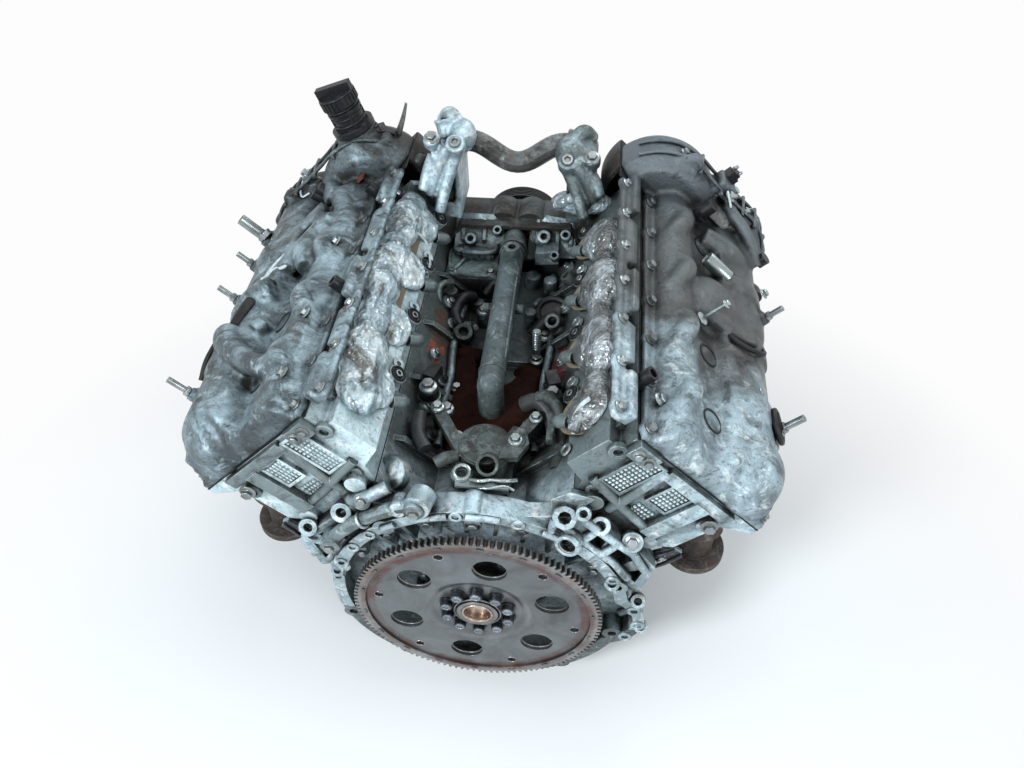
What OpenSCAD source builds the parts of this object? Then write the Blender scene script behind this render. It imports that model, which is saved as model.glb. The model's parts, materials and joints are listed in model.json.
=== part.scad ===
// Ninety-degree V8 long block: crankcase, two twin-cam heads, covers, pans, flexplate and ring gear.
// Millimetres. +X is right seen from the flywheel end, +Y runs to the front pulley, +Z is up.
// The origin is on the crankshaft axis in the plane of the bell-housing face.

/* [Cylinders] */
// Bore of each cylinder
bore_d = 94; // [88:0.5:97]
// Distance between neighbouring cylinders of one bank
bore_pitch = 105.5; // [104:0.5:110]
// Crankshaft axis to the head joint, along the bore
deck_height = 228; // [222:1:236]
// Crank throw, half of the stroke
crank_throw = 41.5; // [36:0.5:44]
// Length of a connecting rod between centres
rod_length = 150; // [146:1:156]
// How far the left bank sits ahead of the right
bank_stagger = 15; // [10:1:18]
// Bell-housing face to the middle of the rear pair of cylinders
first_pair_y = 97.5; // [95:0.5:102]

/* [Crankcase] */
// Depth of the block below the crankshaft axis
skirt_depth = 42; // [36:1:50]
// Half width of the crankcase walls
skirt_half = 122; // [114:1:130]
// Width of the pan rail outside the crankcase walls
rail_w = 16; // [14:0.5:22]
// Height of the valley floor above the crankshaft axis
valley_z = 150; // [144:1:156]
// Radius of the main journals
main_r = 33.5; // [30:0.5:36]
// Radius of the crank pins
pin_r = 26; // [23:0.5:28]
// Thickness of the main bearing shells
shell_t = 2.5; // [2:0.25:3.5]
// Thickness of the main bearing walls
main_wall = 22; // [18:1:24]
// Radius of the counterweights
weight_r = 78; // [72:1:84]

/* [Bell housing] */
// Outer radius of the bell-housing rim
bell_r = 192; // [188:1:200]
// Inner radius of the rim
bell_in_r = 176; // [172:1:180]
// Depth of the rim
bell_depth = 30; // [26:1:34]
// Radius of the circle of bell-housing bolts
bell_bolt_r = 184; // [182:1:186]
// Number of bell-housing bolts
bell_bolts = 10; // [8:1:12]
// Diameter of the bell-housing bolt holes
bell_hole_d = 12; // [10:0.5:13]

/* [Flexplate] */
// Tip radius of the ring gear
gear_tip_r = 160; // [158:0.5:164]
// Number of ring gear teeth
gear_teeth = 118; // [100:1:130]
// Depth of a tooth
tooth_h = 5; // [4:0.25:6]
// Inner radius of the ring gear
gear_in_r = 145; // [143:0.5:148]
// Width of the ring gear
gear_w = 11; // [9:0.5:14]
// Thickness of the flexplate
plate_t = 4; // [3:0.25:5]
// Depth of the dish between the centre and the rim of the flexplate
dish_depth = 5; // [3:0.5:7]
// Radius of the six lightening holes
big_hole_r = 21.6; // [18:0.2:24]
// Radius of the circle of the lightening holes
big_hole_circle = 101; // [98:0.5:104]
// Diameter of the six converter bolt holes
small_hole_d = 11; // [9:0.5:13]
// Radius of the circle of the converter bolts
small_hole_circle = 128; // [126:0.5:131]
// Radius of the circle of crankshaft bolts
hub_bolt_circle = 41.6; // [39:0.2:44]
// Number of crankshaft bolts
hub_bolts = 10; // [8:1:10]
// Radius of the pilot bore
pilot_r = 20.8; // [18:0.2:23]

/* [Heads] */
// Head joint to the camshaft plane
head_h = 118.8; // [112:0.2:126]
// Thickness of the head gasket
head_gasket_t = 1.2; // [0.8:0.1:2]
// Rear face of both heads
head_y0 = 25; // [24:1:30]
// Offset of the intake camshaft from the bore axis
intake_cam_v = -46; // [-50:1:-42]
// Offset of the exhaust camshaft from the bore axis
exhaust_cam_v = 58; // [54:1:62]
// Radius of the camshaft journals
cam_r = 14; // [12:0.5:15]
// Intake face of the head from the bore axis
intake_face_v = -112; // [-116:1:-108]
// Exhaust face of the head from the bore axis
exhaust_face_v = 84; // [80:1:90]
// Radius of an intake port
port_r = 22; // [18:0.5:25]
// Outer radius of a spark plug tube
plug_tube_r = 16; // [14:0.5:18]

/* [Covers] */
// Rounding of the corners of the valve covers
cover_round = 40; // [20:1:50]
// Wall of the valve covers
cover_wall = 5; // [3:0.5:6]
// Thickness of the valve cover gasket
cover_gasket_t = 2; // [1:0.25:3]
// Front face of the timing cover
cover_front_y = 560; // [556:1:570]
// Radius of the two domes over the camshaft phasers
dome_r = 80; // [77:1:84]
// Radius of the camshaft phasers
phaser_r = 50; // [44:1:51]
// Wall of the timing cover
case_wall = 6; // [4:0.5:8]

/* [Pans and pulleys] */
// Depth of the upper pan
upper_pan_h = 68; // [60:1:76]
// Depth of the lower pan
lower_pan_h = 105; // [100:1:120]
// Radius of the crank pulley
pulley_r = 86; // [78:1:92]
// Radius of the water pump pulley
pump_pulley_r = 62; // [54:1:68]

/* [Pipes] */
// Radius of the pipe along the valley
valley_pipe_r = 17; // [15:0.5:19]
// Radius of the crossover pipe at the front
cross_pipe_r = 15.5; // [13:0.5:17]
// Radius of the oil filler neck
filler_r = 22; // [19:0.5:25]

/* [Fits] */
// Radial clearance of a running journal
run_gap = 0.05; // [0.02:0.01:0.08]
// Clearance between parts that only stand beside each other
side_gap = 0.5; // [0.3:0.1:1]

/* [Hidden] */
$fn = 48;

half_bank = 45;
q = sqrt(0.5);
pair_count = 4;
main_ys = [for (i = [0 : pair_count]) first_pair_y + (i - 0.5) * bore_pitch];
front_y = main_ys[pair_count] + 23.5;
cam_u = deck_height + head_gasket_t + head_h;
cover_u = cam_u + cover_gasket_t;
rail_z = -skirt_depth;
rail_half = skirt_half + rail_w;
upper_pan_z = rail_z - upper_pan_h;
pan_z = upper_pan_z - lower_pan_h;
chamber_r = weight_r + 12;
flange_t = 6;
plate_y = -8;
rim_y = plate_y - dish_depth;
throw_angles = [90, 180, 0, 270];

// ---------- helpers ----------
// Moves bank-local geometry (x outward, z along the bore) to the left (-1) or right (+1) bank
module bank(side) {
    mirror([side < 0 ? 1 : 0, 0, 0]) rotate([0, half_bank, 0]) children();
}
// Extrudes an (x, z) outline along +Y
module along_y(y0, len) {
    translate([0, y0 + len, 0]) rotate([90, 0, 0]) linear_extrude(len) children();
}
// Extrudes a (y, z) outline along +X
module along_x(x0, len) {
    translate([x0, 0, 0]) rotate([90, 0, 90]) linear_extrude(len) children();
}
// A cylinder along +Y
module rod_y(y0, len, r, r2 = undef) {
    translate([0, y0, 0]) rotate([-90, 0, 0]) cylinder(h = len, r1 = r, r2 = is_undef(r2) ? r : r2);
}
function unit(v) = v / norm(v);
function perp(v) = [v[1], -v[0]];
// Rounds each corner of a closed outline with an arc of radius r, at most a third of the shorter side
function rounded(P, r, n = 4) = [for (i = [0 : len(P) - 1])
    let (a = P[(i + len(P) - 1) % len(P)], b = P[i], c = P[(i + 1) % len(P)],
        u = unit(a - b), w = unit(c - b), half = acos(max(-1, min(1, u * w))) / 2,
        t = min(r / max(0.05, tan(half)), min(norm(a - b), norm(c - b)) * 0.45),
        rr = t * tan(half))
    for (k = [0 : n]) let (s = k / n, p = b + u * t * (1 - s) * (1 - s) + w * t * s * s) p];
// Moves each side of a closed outline inwards by d (outline runs clockwise)
function inset(P, d) = [for (i = [0 : len(P) - 1])
    let (a = P[(i + len(P) - 1) % len(P)], b = P[i], c = P[(i + 1) % len(P)],
        n1 = perp(unit(b - a)), n2 = perp(unit(c - b)), m = n1 + n2)
    b + m * d / max(0.3, 1 + n1 * n2)];
function flip_x(P) = [for (i = [len(P) - 1 : -1 : 0]) [-P[i][0], P[i][1]]];
function wx(u, v) = (u + v) * q;
function wz(u, v) = (u - v) * q;
function pair_y(i) = first_pair_y + i * bore_pitch;
function cyl_y(side, i) = pair_y(i) - side * bank_stagger / 2;
// A tube swept along a list of points
function frame_x(t) = unit(cross(abs(t[1]) > 0.9 ? [1, 0, 0] : [0, 1, 0], t));
function ring_at(p, t, r, n) = let (x = frame_x(t), y = cross(t, x))
    [for (k = [0 : n - 1]) p + r * (cos(360 * k / n) * x + sin(360 * k / n) * y)];
module swept(points, r, n = 12) {
    last = len(points) - 1;
    tangents = [for (i = [0 : last]) unit(points[min(last, i + 1)] - points[max(0, i - 1)])];
    verts = [for (i = [0 : last]) each ring_at(points[i], tangents[i], r, n)];
    sides = [for (i = [0 : last - 1]) for (k = [0 : n - 1]) let (a = i * n + k, b = i * n + (k + 1) % n)
        [a, a + n, b + n, b]];
    polyhedron(verts, concat([[for (k = [0 : n - 1]) k]], sides,
        [[for (k = [n - 1 : -1 : 0]) last * n + k]]));
}
// Hexagon head with its washer, standing on z = 0
module bolt_head(r = 6) {
    cylinder(r = r * 1.35, h = 1.6, $fn = 24);
    translate([0, 0, 1.6]) cylinder(r = r, h = r * 1.05, $fn = 6);
}

// ---------- block ----------
deck_in = 66;
deck_out = 66;
function block_half() = [[0, valley_z], [56, valley_z],
    [wx(deck_height, -deck_in), wz(deck_height, -deck_in)],
    [wx(deck_height, deck_out), wz(deck_height, deck_out)],
    [wx(deck_height - 44, deck_out), wz(deck_height - 44, deck_out)],
    [skirt_half, 46], [skirt_half, rail_z + 24], [rail_half, rail_z + 12],
    [rail_half, rail_z], [0, rail_z]];
module block_outline() {
    polygon(block_half());
    polygon(flip_x(block_half()));
}
module above_rail() {
    translate([-300, -5, rail_z]) cube([600, 60, 400]);
}
module below_rail() {
    translate([-300, -5, rail_z - 400]) cube([600, 60, 400]);
}
// Bell-housing rim with its bolt bosses and starter pocket, cut away from the centre
starter_x = 150;
starter_z = -22;
starter_r = 64;
module at_bell_bolts() {
    for (i = [0 : bell_bolts - 1]) rotate([0, i * 360 / bell_bolts, 0])
        translate([0, 0, bell_bolt_r]) children();
}
module bell_rim() {
    difference() {
        union() {
            difference() {
                union() {
                    rod_y(0, bell_depth, bell_r, $fn = 96);
                    translate([starter_x, 0, starter_z]) rod_y(0, bell_depth, starter_r);
                }
                rod_y(-1, bell_depth - flange_t + 1, bell_in_r, $fn = 96);
                translate([starter_x, 0, starter_z]) rod_y(-1, bell_depth - flange_t + 1, starter_r - 14);
            }
            at_bell_bolts() rod_y(0, bell_depth + 1.5, bell_hole_d / 2 + 7);
        }
        for (a = [-42, 30]) translate([starter_x, 0, starter_z]) rotate([0, -a, 0])
            translate([starter_r - 7, 0, 0]) rod_y(-1, bell_depth + 4, 4.5);
        at_bell_bolts() rod_y(-1, bell_depth + 4, bell_hole_d / 2);
    }
}
// Webs between the rim and the decks, with open cast pockets
web_y0 = 8;
module corner_webs() {
    for (side = [-1, 1]) mirror([side < 0 ? 1 : 0, 0, 0]) difference() {
        along_y(web_y0, bell_depth - web_y0 - 1) polygon([[150, 60], [bell_r + 12, 44],
            [wx(deck_height, deck_out) + 10, 96],
            [wx(deck_height, deck_out - 10), wz(deck_height, deck_out - 10)],
            [wx(deck_height, -40), wz(deck_height, -40)], [60, 182], [60, 150]]);
        rod_y(7, bell_depth - flange_t - 7, bell_in_r, $fn = 96);
        along_y(7, 14) polygon([[196, 60], [206, 92], [180, 82]]);
        along_y(7, 14) polygon([[172, 92], [196, 112], [168, 138], [158, 112]]);
        along_y(7, 14) polygon([[148, 124], [158, 148], [136, 168], [122, 152]]);
    }
}
module cylinder_block() color("#8f9ba0") difference() {
    union() {
        difference() {
            union() {
                along_y(bell_depth - flange_t, front_y - bell_depth + flange_t) block_outline();
                intersection() {
                    union() {
                        bell_rim();
                        difference() {
                            corner_webs();
                            at_bell_bolts() rod_y(-1, bell_depth + 4, bell_hole_d / 2);
                        }
                    }
                    above_rail();
                }
                for (y = main_ys) along_y(y - 5, 10) for (s = [-1, 1]) polygon([[s * (skirt_half - 1), 100],
                    [s * (skirt_half + 24), 70], [s * rail_half, 30], [s * rail_half, rail_z + 1],
                    [s * (skirt_half - 1), rail_z + 1]]);
                for (side = [-1, 1]) translate([side * knock_x, knock_y, valley_z - 1])
                    cylinder(r = 15, h = knock_h + 1);
                for (p = post_list) translate([p[0], p[1], valley_z - 1]) cylinder(r = 9, h = p[2] + 1);
                translate([plate_x0, front_y - plate_len, valley_z - 1])
                    cube([plate_w, plate_len, plate_z - valley_z + 1]);
                for (i = [0 : 3]) for (side = [-1, 1]) along_y(pair_y(i) - 4, 8)
                    polygon([[side * 40, valley_z - 1], [side * 54, valley_z - 1],
                        [side * wx(deck_height - 8, -deck_in), wz(deck_height - 8, -deck_in)],
                        [side * (wx(deck_height - 8, -deck_in) - 14), wz(deck_height - 8, -deck_in) - 2]]);
            }
            along_y(main_ys[0] + main_wall / 2, main_ys[pair_count] - main_ys[0] - main_wall) {
                circle(chamber_r);
                translate([-chamber_r, rail_z - 1]) square([2 * chamber_r, skirt_depth + 1]);
            }
            pool_recess();
        }
        for (i = [1 : pair_count - 1]) along_y(main_ys[i] - main_wall / 2, main_wall) difference() {
            circle(chamber_r + 1);
            translate([-150, -200]) square([300, 200]);
        }
    }
    rod_y(bell_depth - flange_t - 1, front_y, main_r + shell_t);
    rod_y(bell_depth - flange_t - 1, main_ys[0] - main_wall / 2 - bell_depth + flange_t + 1, hub_r + 8);
    for (y = main_ys) translate([-cap_half - 0.01, y - main_wall / 2 - 0.01, rail_z - 1])
        cube([2 * cap_half + 0.02, main_wall + 0.02, skirt_depth + 1]);
    translate([-40, main_ys[pair_count], rail_z - 1]) cube([80, 60, skirt_depth + 1]);
    for (side = [-1, 1]) for (i = [0 : pair_count - 1]) bank(side)
        translate([0, cyl_y(side, i), 62]) cylinder(r = bore_d / 2, h = deck_height, $fn = 64);
}
pool_y0 = 122;
pool_y1 = 292;
pool_depth = 12;
module pool_recess() {
    translate([-46, pool_y0, valley_z - pool_depth]) cube([92, pool_y1 - pool_y0, pool_depth + 8]);
}
cap_half = 66;
cap_h = 54;
module main_bearing_caps() color("#6f7577") for (y = main_ys) along_y(y - main_wall / 2, main_wall)
    difference() {
        polygon([[-cap_half, 0], [cap_half, 0], [cap_half, -26], [cap_half - 14, -cap_h],
            [14 - cap_half, -cap_h], [-cap_half, -26]]);
        circle(main_r + shell_t);
    }
module main_bearings() color("#a8a29a") for (y = main_ys) difference() {
    rod_y(y - main_wall / 2 + 1, main_wall - 2, main_r + shell_t);
    rod_y(y - main_wall / 2, main_wall, main_r + run_gap);
}
hub_r = 52;
seal_y = bell_depth - flange_t;
module rear_seal_retainer() color("#7d878b") difference() {
    union() {
        rod_y(seal_y - 10, 10, hub_r + 22);
        for (a = [30 : 60 : 330]) rotate([0, a, 0]) translate([0, 0, hub_r + 26])
            rod_y(seal_y - 11, 11, 8);
    }
    rod_y(seal_y - 11, 12, hub_r + side_gap);
    for (a = [30 : 60 : 330]) rotate([0, a, 0]) translate([0, 0, hub_r + 26])
        rod_y(seal_y - 12, 13, 3.2);
}

// ---------- crank train ----------
web_t = 17;
pin_len = bore_pitch - main_wall - 2 * web_t - 2 * side_gap;
module crank_web(angle) {
    circle(main_r + 5);
    rotate(angle) {
        translate([crank_throw, 0]) circle(pin_r + 8);
        translate([0, -pin_r - 6]) square([crank_throw, 2 * pin_r + 12]);
        intersection() {
            circle(weight_r);
            polygon([[14, 0], [-20, 74], [-90, 74], [-90, -74], [-20, -74]]);
        }
    }
}
module crankshaft() color("#84878a") difference() {
    union() {
        for (y = main_ys) rod_y(y - main_wall / 2 - side_gap, main_wall + 2 * side_gap, main_r);
        for (i = [0 : pair_count - 1]) {
            a = throw_angles[i];
            for (s = [-1, 1]) along_y(pair_y(i) + s * (pin_len + web_t) / 2 - web_t / 2, web_t)
                crank_web(a);
            translate([crank_throw * cos(a), 0, crank_throw * sin(a)])
                rod_y(pair_y(i) - pin_len / 2, pin_len, pin_r);
        }
        rod_y(-2, main_ys[0] - main_wall / 2 - side_gap + 2, hub_r);
        rod_y(rim_y - plate_t - 2, -rim_y + plate_t, pilot_r + 6);
        rod_y(main_ys[pair_count], cover_front_y + 38 - main_ys[pair_count], snout_r);
    }
    rod_y(rim_y - plate_t - 3, 36, pilot_r);
    for (i = [0 : hub_bolts - 1]) rotate([0, i * 360 / hub_bolts, 0])
        translate([0, 0, hub_bolt_circle]) rod_y(-3, 22, bolt_shank_r + 0.1, $fn = 24);
    rod_y(cover_front_y + 10, 40, 8, $fn = 32);
}
snout_r = 22;
bolt_shank_r = 5;
module hub_holes(y0, len) {
    for (i = [0 : hub_bolts - 1]) rotate([0, i * 360 / hub_bolts, 0])
        translate([0, 0, hub_bolt_circle]) rod_y(y0 - 1, len + 2, bolt_shank_r + 0.1, $fn = 24);
    rod_y(y0 - 1, len + 2, pilot_r + 6 + run_gap);
}
module hub_spacer() color("#8a5a3c") difference() {
    rod_y(plate_y, -2 - plate_y, hub_r);
    hub_holes(plate_y, 6);
}
dish_in_r = 60;
dish_out_r = 72;
module flexplate() color("#4a4541") difference() {
    rotate([90, 0, 0]) rotate_extrude($fn = 128) polygon([[pilot_r + 6 + run_gap, -plate_y],
        [dish_in_r, -plate_y], [dish_out_r, -rim_y], [gear_in_r, -rim_y], [gear_in_r, plate_t - rim_y],
        [dish_out_r - 2, plate_t - rim_y], [dish_in_r - 2, plate_t - plate_y],
        [pilot_r + 6 + run_gap, plate_t - plate_y]]);
    hub_holes(rim_y - plate_t, dish_depth + plate_t);
    for (i = [0 : 5]) {
        rotate([0, 11 + i * 60, 0]) translate([0, 0, big_hole_circle])
            rod_y(rim_y - plate_t - 1, plate_t + 2, big_hole_r);
        rotate([0, 41 + i * 60, 0]) translate([0, 0, small_hole_circle])
            rod_y(rim_y - plate_t - 1, plate_t + 2, small_hole_d / 2, $fn = 32);
    }
}
gear_y0 = rim_y - plate_t - 3;
function tooth_points() = let (pitch = 360 / gear_teeth, root = gear_tip_r - tooth_h)
    [for (i = [0 : gear_teeth - 1])
        for (p = [[-0.30, root], [-0.15, gear_tip_r], [0.15, gear_tip_r], [0.30, root]])
            let (a = (i + p[0]) * pitch) p[1] * [cos(a), sin(a)]];
module ring_gear() color("#5c4a42") difference() {
    along_y(gear_y0, gear_w) polygon(tooth_points());
    rod_y(gear_y0 - 1, gear_w + 2, gear_in_r, $fn = 128);
}
module flexplate_bolts() color("#3c3b3a") for (i = [0 : hub_bolts - 1]) rotate([0, i * 360 / hub_bolts, 0])
    translate([0, plate_y - plate_t, hub_bolt_circle]) rotate([90, 0, 0]) {
        cylinder(r = 9.4, h = 2);
        translate([0, 0, 2]) cylinder(r = 8, h = 7, $fn = 12);
        translate([0, 0, -plate_t - 6 - 14]) cylinder(r = bolt_shank_r, h = plate_t + 20, $fn = 24);
    }
module crank_sprocket() color("#77787a") difference() {
    union() {
        rod_y(front_y + 12, 10, 34);
        along_y(front_y + 22, 8)
            polygon([for (i = [0 : 47]) (i % 2 == 0 ? 40 : 36) * [cos(i * 7.5), sin(i * 7.5)]]);
    }
    rod_y(front_y, 40, snout_r + run_gap);
}
pulley_y = cover_front_y + 6;
module crank_pulley() color("#3f4244") difference() {
    union() {
        rod_y(cover_front_y + 1, 5, snout_r + 9);
        rod_y(pulley_y, 32, pulley_r);
    }
    rod_y(cover_front_y, 60, snout_r + run_gap);
    difference() {
        rod_y(pulley_y + 8, 30, pulley_r - 14);
        rod_y(pulley_y + 7, 32, snout_r + 12);
    }
    for (k = [0 : 5]) difference() {
        rod_y(pulley_y + 4 + k * 4, 2.4, pulley_r + 1);
        rod_y(pulley_y + 3 + k * 4, 4.4, pulley_r - 3);
    }
    for (a = [0 : 60 : 300]) rotate([0, a, 0]) translate([0, 0, (pulley_r + snout_r) / 2])
        rod_y(pulley_y - 1, 12, 10);
}
module pulley_bolt() color("#5b5d5f") translate([0, cover_front_y + 38, 0]) {
    rod_y(0, 5, snout_r + 5);
    rotate([-90, 0, 0]) translate([0, 0, 5]) cylinder(r = 13, h = 12, $fn = 6);
    rod_y(-22, 22, 8 - run_gap, $fn = 32);
}
function crank_angle(side, i) = throw_angles[i] - (90 - side * half_bank);
function wrist_u(side, i) = crank_throw * cos(crank_angle(side, i))
    + sqrt(rod_length * rod_length - pow(crank_throw * sin(crank_angle(side, i)), 2));
module pistons() color("#a5a9ab") for (side = [-1, 1]) for (i = [0 : pair_count - 1]) bank(side)
    translate([0, cyl_y(side, i), wrist_u(side, i)]) difference() {
        translate([0, 0, -20]) cylinder(r = bore_d / 2 - run_gap, h = 48, $fn = 64);
        translate([0, 0, -21]) cylinder(r = bore_d / 2 - 7, h = 40);
        for (k = [0 : 2]) translate([0, 0, 10 + k * 6]) difference() {
            cylinder(r = bore_d / 2 + 1, h = 1.5);
            translate([0, 0, -1]) cylinder(r = bore_d / 2 - 3, h = 4);
        }
    }

// ---------- pans ----------
sump_y0 = 60;
sump_len = 330;
pan_cavity_y = main_ys[0] - main_wall / 2 - 1;
module upper_oil_pan() color("#848e92") difference() {
    union() {
        translate([-rail_half, bell_depth - flange_t, rail_z - 12])
            cube([2 * rail_half, cover_front_y - 2 - bell_depth + flange_t, 12]);
        along_y(bell_depth - flange_t, cover_front_y - 8 - bell_depth + flange_t)
            polygon([[-skirt_half, rail_z - 11], [skirt_half, rail_z - 11],
                [skirt_half - 10, upper_pan_z], [10 - skirt_half, upper_pan_z]]);
        translate([8 - rail_half, sump_y0, upper_pan_z]) cube([2 * rail_half - 16, sump_len, 12]);
        intersection() {
            bell_rim();
            below_rail();
        }
        for (i = [0 : 5]) translate([-rail_half + 3, pan_bolt_y(i) + 32, upper_pan_z + 6])
            cube([2 * rail_half - 6, 7, upper_pan_h - 14]);
    }
    translate([-chamber_r - 6, pan_cavity_y, upper_pan_z + 8])
        cube([2 * chamber_r + 12, front_y - 10 - pan_cavity_y, upper_pan_h + 2]);
    translate([-chamber_r - 6, sump_y0 + 26, upper_pan_z - 1])
        cube([2 * chamber_r + 12, sump_len - 52, 20]);
    translate([-chamber_r, front_y - 20, rail_z - 50])
        cube([2 * chamber_r, cover_front_y - front_y - 2, 60]);
    rod_y(seal_y - 1, pan_cavity_y - seal_y + 2, hub_r + 8);
}
module lower_oil_pan() color("#5d6466") difference() {
    union() {
        translate([8 - rail_half, sump_y0, upper_pan_z - 4]) cube([2 * rail_half - 16, sump_len, 4]);
        along_x(30 - rail_half, 2 * rail_half - 60) polygon(rounded([[78, upper_pan_z - 3],
            [372, upper_pan_z - 3], [364, pan_z + 30], [342, pan_z], [96, pan_z]], 18));
    }
    along_x(33 - rail_half, 2 * rail_half - 66) polygon(rounded([[81, upper_pan_z + 1],
        [369, upper_pan_z + 1], [361, pan_z + 31], [340, pan_z + 3], [99, pan_z + 3]], 16));
    translate([0, 81, pan_z + 26]) rotate([90, 0, 0]) cylinder(r = 9, h = 30, center = true);
}
module drain_plug() color("#55585a") translate([0, 90, pan_z + 26]) rotate([90, 0, 0]) {
    translate([0, 0, -1]) cylinder(r = 8.9, h = 10);
    translate([0, 0, 9]) cylinder(r = 13, h = 2);
    translate([0, 0, 11]) cylinder(r = 10, h = 8, $fn = 6);
}
function pan_bolt_y(i) = 48 + i * 72;
module pan_bolts() color("#6b6f70") {
    for (s = [-1, 1]) for (i = [0 : 6])
        translate([s * (skirt_half + rail_w / 2), pan_bolt_y(i), rail_z - 12]) mirror([0, 0, 1]) bolt_head(5);
    for (s = [-1, 1]) for (i = [0 : 4]) translate([s * (rail_half - 18), 76 + i * 74, upper_pan_z - 4])
        mirror([0, 0, 1]) bolt_head(5);
}

// ---------- front ----------
dome_in_v = intake_cam_v - 14;
dome_ex_v = exhaust_cam_v - 4;
dome_u = cam_u - 2;
case_top_z = wz(deck_height, -deck_in) + 28;
case_top_x = wx(deck_height, -deck_in) - 32;
// Front outline of the case: centre body and an arm up each bank
module case_outline(d) {
    polygon([[-rail_half + 18 + d, rail_z], [rail_half - 18 - d, rail_z], [rail_half - 4 - d, 60],
        [168 - d, 90 - d * 0.4], [case_top_x - d * 0.4, case_top_z - d],
        [d * 0.4 - case_top_x, case_top_z - d],
        [d - 168, 90 - d * 0.4], [4 - rail_half + d, 60]]);
    for (s = [-1, 1]) mirror([s < 0 ? 1 : 0, 0]) rotate(-half_bank) {
        translate([dome_in_v - 12 + d, 90 + d])
            square([dome_ex_v - dome_in_v - 2 * d + 24, cam_u - 90 - d]);
        intersection() {
            union() {
                translate([dome_in_v, dome_u]) circle(dome_r - d);
                translate([dome_ex_v, dome_u]) circle(dome_r - d);
                translate([dome_in_v - dome_r / 2, dome_u - 60])
                    square([dome_ex_v - dome_in_v + dome_r, 60]);
            }
            translate([-300, 0]) square([600, cam_u]);
        }
    }
}
module timing_cover() color("#7f8b90") difference() {
    union() {
        along_y(front_y, cover_front_y - front_y) case_outline(0);
        rod_y(cover_front_y - 1, 1, snout_r + 26);
        translate([0, cover_front_y - 1, pump_z]) rotate([-90, 0, 0]) cylinder(r = 56, h = 9);
        for (s = [-1, 1]) bank(s) for (v = [dome_in_v, dome_ex_v]) intersection() {
            translate([v, cover_front_y - 1, dome_u]) rotate([-90, 0, 0]) cylinder(r = 34, h = 7);
            translate([-300, 0, 0]) cube([600, 700, cam_u]);
        }
        for (a = [-60 : 30 : 60]) rotate([0, a, 0]) translate([-3, cover_front_y - 1, 50]) cube([6, 5, 58]);
        for (x = [-20, 21]) translate([x, 0, case_top_z - 14]) rod_y(front_y + 20, 44, 24);
    }
    along_y(front_y - 1, cover_front_y - front_y - case_wall + 1) case_outline(case_wall);
    rod_y(front_y, 100, snout_r + 9 + side_gap);
}
pump_z = 150;
module timing_cover_bolts() color("#8a9093") {
    for (s = [-1, 1]) for (p = [[rail_half - 30, -22], [rail_half - 16, 30], [132, 78]])
        translate([s * p[0], cover_front_y, p[1]]) rotate([-90, 0, 0]) bolt_head(6);
    for (s = [-1, 1]) bank(s) for (p = [[dome_in_v, 250], [dome_ex_v, 215], [dome_ex_v, 262]])
        translate([p[0], cover_front_y, p[1]]) rotate([-90, 0, 0]) bolt_head(6);
}
pump_y = cover_front_y + 8;
module water_pump() color("#8b9599") translate([0, pump_y, pump_z]) difference() {
    union() {
        rod_y(0, 12, 54);
        for (a = [0 : 60 : 300]) rotate([0, a, 0]) translate([0, 0, 50]) rod_y(0, 12, 9);
        rod_y(11, 26, 30, 22);
    }
    rod_y(-1, 39, 11 + run_gap);
    for (a = [0 : 60 : 300]) rotate([0, a, 0]) translate([0, 0, 50]) rod_y(-1, 14, 3.3, $fn = 24);
}
module pump_pulley() color("#303335") translate([0, pump_y, pump_z]) {
    difference() {
        union() {
            rod_y(38, 24, pump_pulley_r);
            rod_y(0.5, 60, 11);
        }
        difference() {
            rod_y(43, 20, pump_pulley_r - 8);
            rod_y(42, 22, 18);
        }
        for (k = [0 : 4]) difference() {
            rod_y(41 + k * 4, 2.2, pump_pulley_r + 1);
            rod_y(40 + k * 4, 4.2, pump_pulley_r - 2.5);
        }
    }
}

// ---------- heads ----------
head_u = deck_height + head_gasket_t;
shoulder_u = cam_u - 24;
function head_outline() = [[-deck_in, head_u], [-78, head_u + 24], [intake_face_v, head_u + 33],
    [intake_face_v, shoulder_u], [cover_in_v - flange_w, shoulder_u], [cover_in_v - flange_w, cam_u],
    [cover_out_v + flange_w, cam_u], [cover_out_v + flange_w, cam_u - 9], [exhaust_face_v, cam_u - 28],
    [exhaust_face_v, head_u + 22], [deck_out - 4, head_u]];
cover_in_v = -80;
cover_out_v = 102;
flange_w = 14;
bolt_v = 9;
bearing_w = 20;
// Rear and front end of a camshaft bearing
function bearing_y0(side, i) = max(head_y0 + 6, cyl_y(side, 0) + (i - 0.5) * bore_pitch - bearing_w / 2);
function bearing_y1(side, i) = cyl_y(side, 0) + (i - 0.5) * bore_pitch + bearing_w / 2;
port_u = head_u + 62;
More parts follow.
